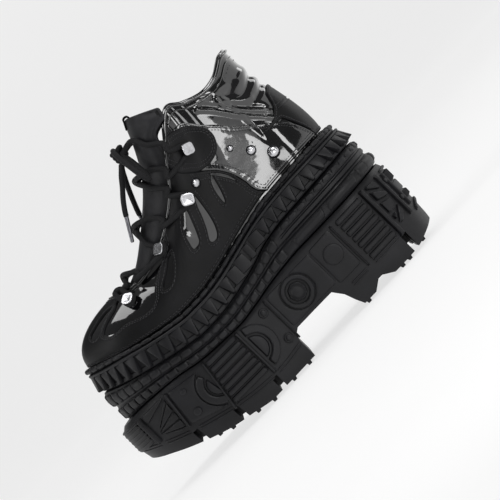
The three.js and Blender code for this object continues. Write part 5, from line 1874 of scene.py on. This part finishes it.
# Place, what it is aimed at, size in metres and power in watts.
lights = {
    "key_softbox": ((-0.85, 1.15, 0.95), studio["middle"], (0.6, 0.6), 9),
    "front_softbox": ((0.25, 1.7, 0.50), studio["middle"], (0.25, 0.8), 2.0),
    "rear_strip": ((-1.1, -0.7, 1.0), studio["middle"], (0.4, 1.4), 3.5),
    "toe_strip": ((1.2, 0.25, 0.9), studio["middle"], (0.35, 0.9), 4.5),
    "quarter_card": ((-0.31, 0.95, 0.11), (-0.08, 0, 0.15), (0.24, 0.19), 0.75),
    "ankle_card": ((-0.90, 1.0, 0.22), (-0.09, 0, 0.18), (0.18, 0.34), 1.2),
    "top_softbox": ((0, -0.1, 1.8), studio["middle"], (1.2, 0.9), 9),
}


# A paper floor that curves up into a wall behind the shoe and beside it, open towards the camera.
def makeStudio():
    reach, curve = studio["reach"], studio["curve"]
    turn = np.linspace(0, math.pi / 2, 14)
    flat = [(0, 0), (reach - curve, 0)]
    rise = [(reach - curve * (1 - math.sin(a)), curve * (1 - math.cos(a))) for a in turn]
    rise.append((reach, studio["height"]))
    bm = bmesh.new()
    for line, start, end in ((flat, 0, 360), (rise, studio["from"], studio["to"]),
                             ([flat[1], (reach + studio["overlap"], 0)], studio["to"], studio["from"] + 360)):
        first = math.radians(start)
        verts = [bm.verts.new((r * math.cos(first), r * math.sin(first), z)) for r, z in line]
        edges = [bm.edges.new(pair) for pair in zip(verts, verts[1:])]
        bmesh.ops.spin(bm, geom=verts + edges, cent=(0, 0, 0), axis=(0, 0, 1),
                       angle=math.radians(end - start), steps=round((end - start) / 5))
    bmesh.ops.remove_doubles(bm, verts=bm.verts[:], dist=1e-4)
    sweep = looseObject(bm, "sweep")
    sweep.data.shade_smooth()
    sweep.data.materials.append(studioPaper())


# A rectangular area light aimed at a point.
def addLight(name, spot, aim, size, power):
    data = bpy.data.lights.new(name, "AREA")
    data.shape, data.size, data.size_y = "RECTANGLE", *size
    data.energy = power
    lamp = bpy.data.objects.new(name, data)
    lamp.location = spot
    lamp.rotation_mode = "QUATERNION"
    lamp.rotation_quaternion = (Vector(aim) - Vector(spot)).to_track_quat("-Z", "Y")
    scene.collection.objects.link(lamp)


def makeLights():
    for name, settings in lights.items():
        addLight(name, *settings)
    world = bpy.data.worlds.new("studio")
    world.use_nodes = True
    world.node_tree.nodes["Background"].inputs["Color"].default_value = linear("#f2f2f2")
    world.node_tree.nodes["Background"].inputs["Strength"].default_value = studio["world"]
    scene.world = world
    scene.view_settings.view_transform = "Standard"


makeStudio()
makeLights()

print("all pieces made")
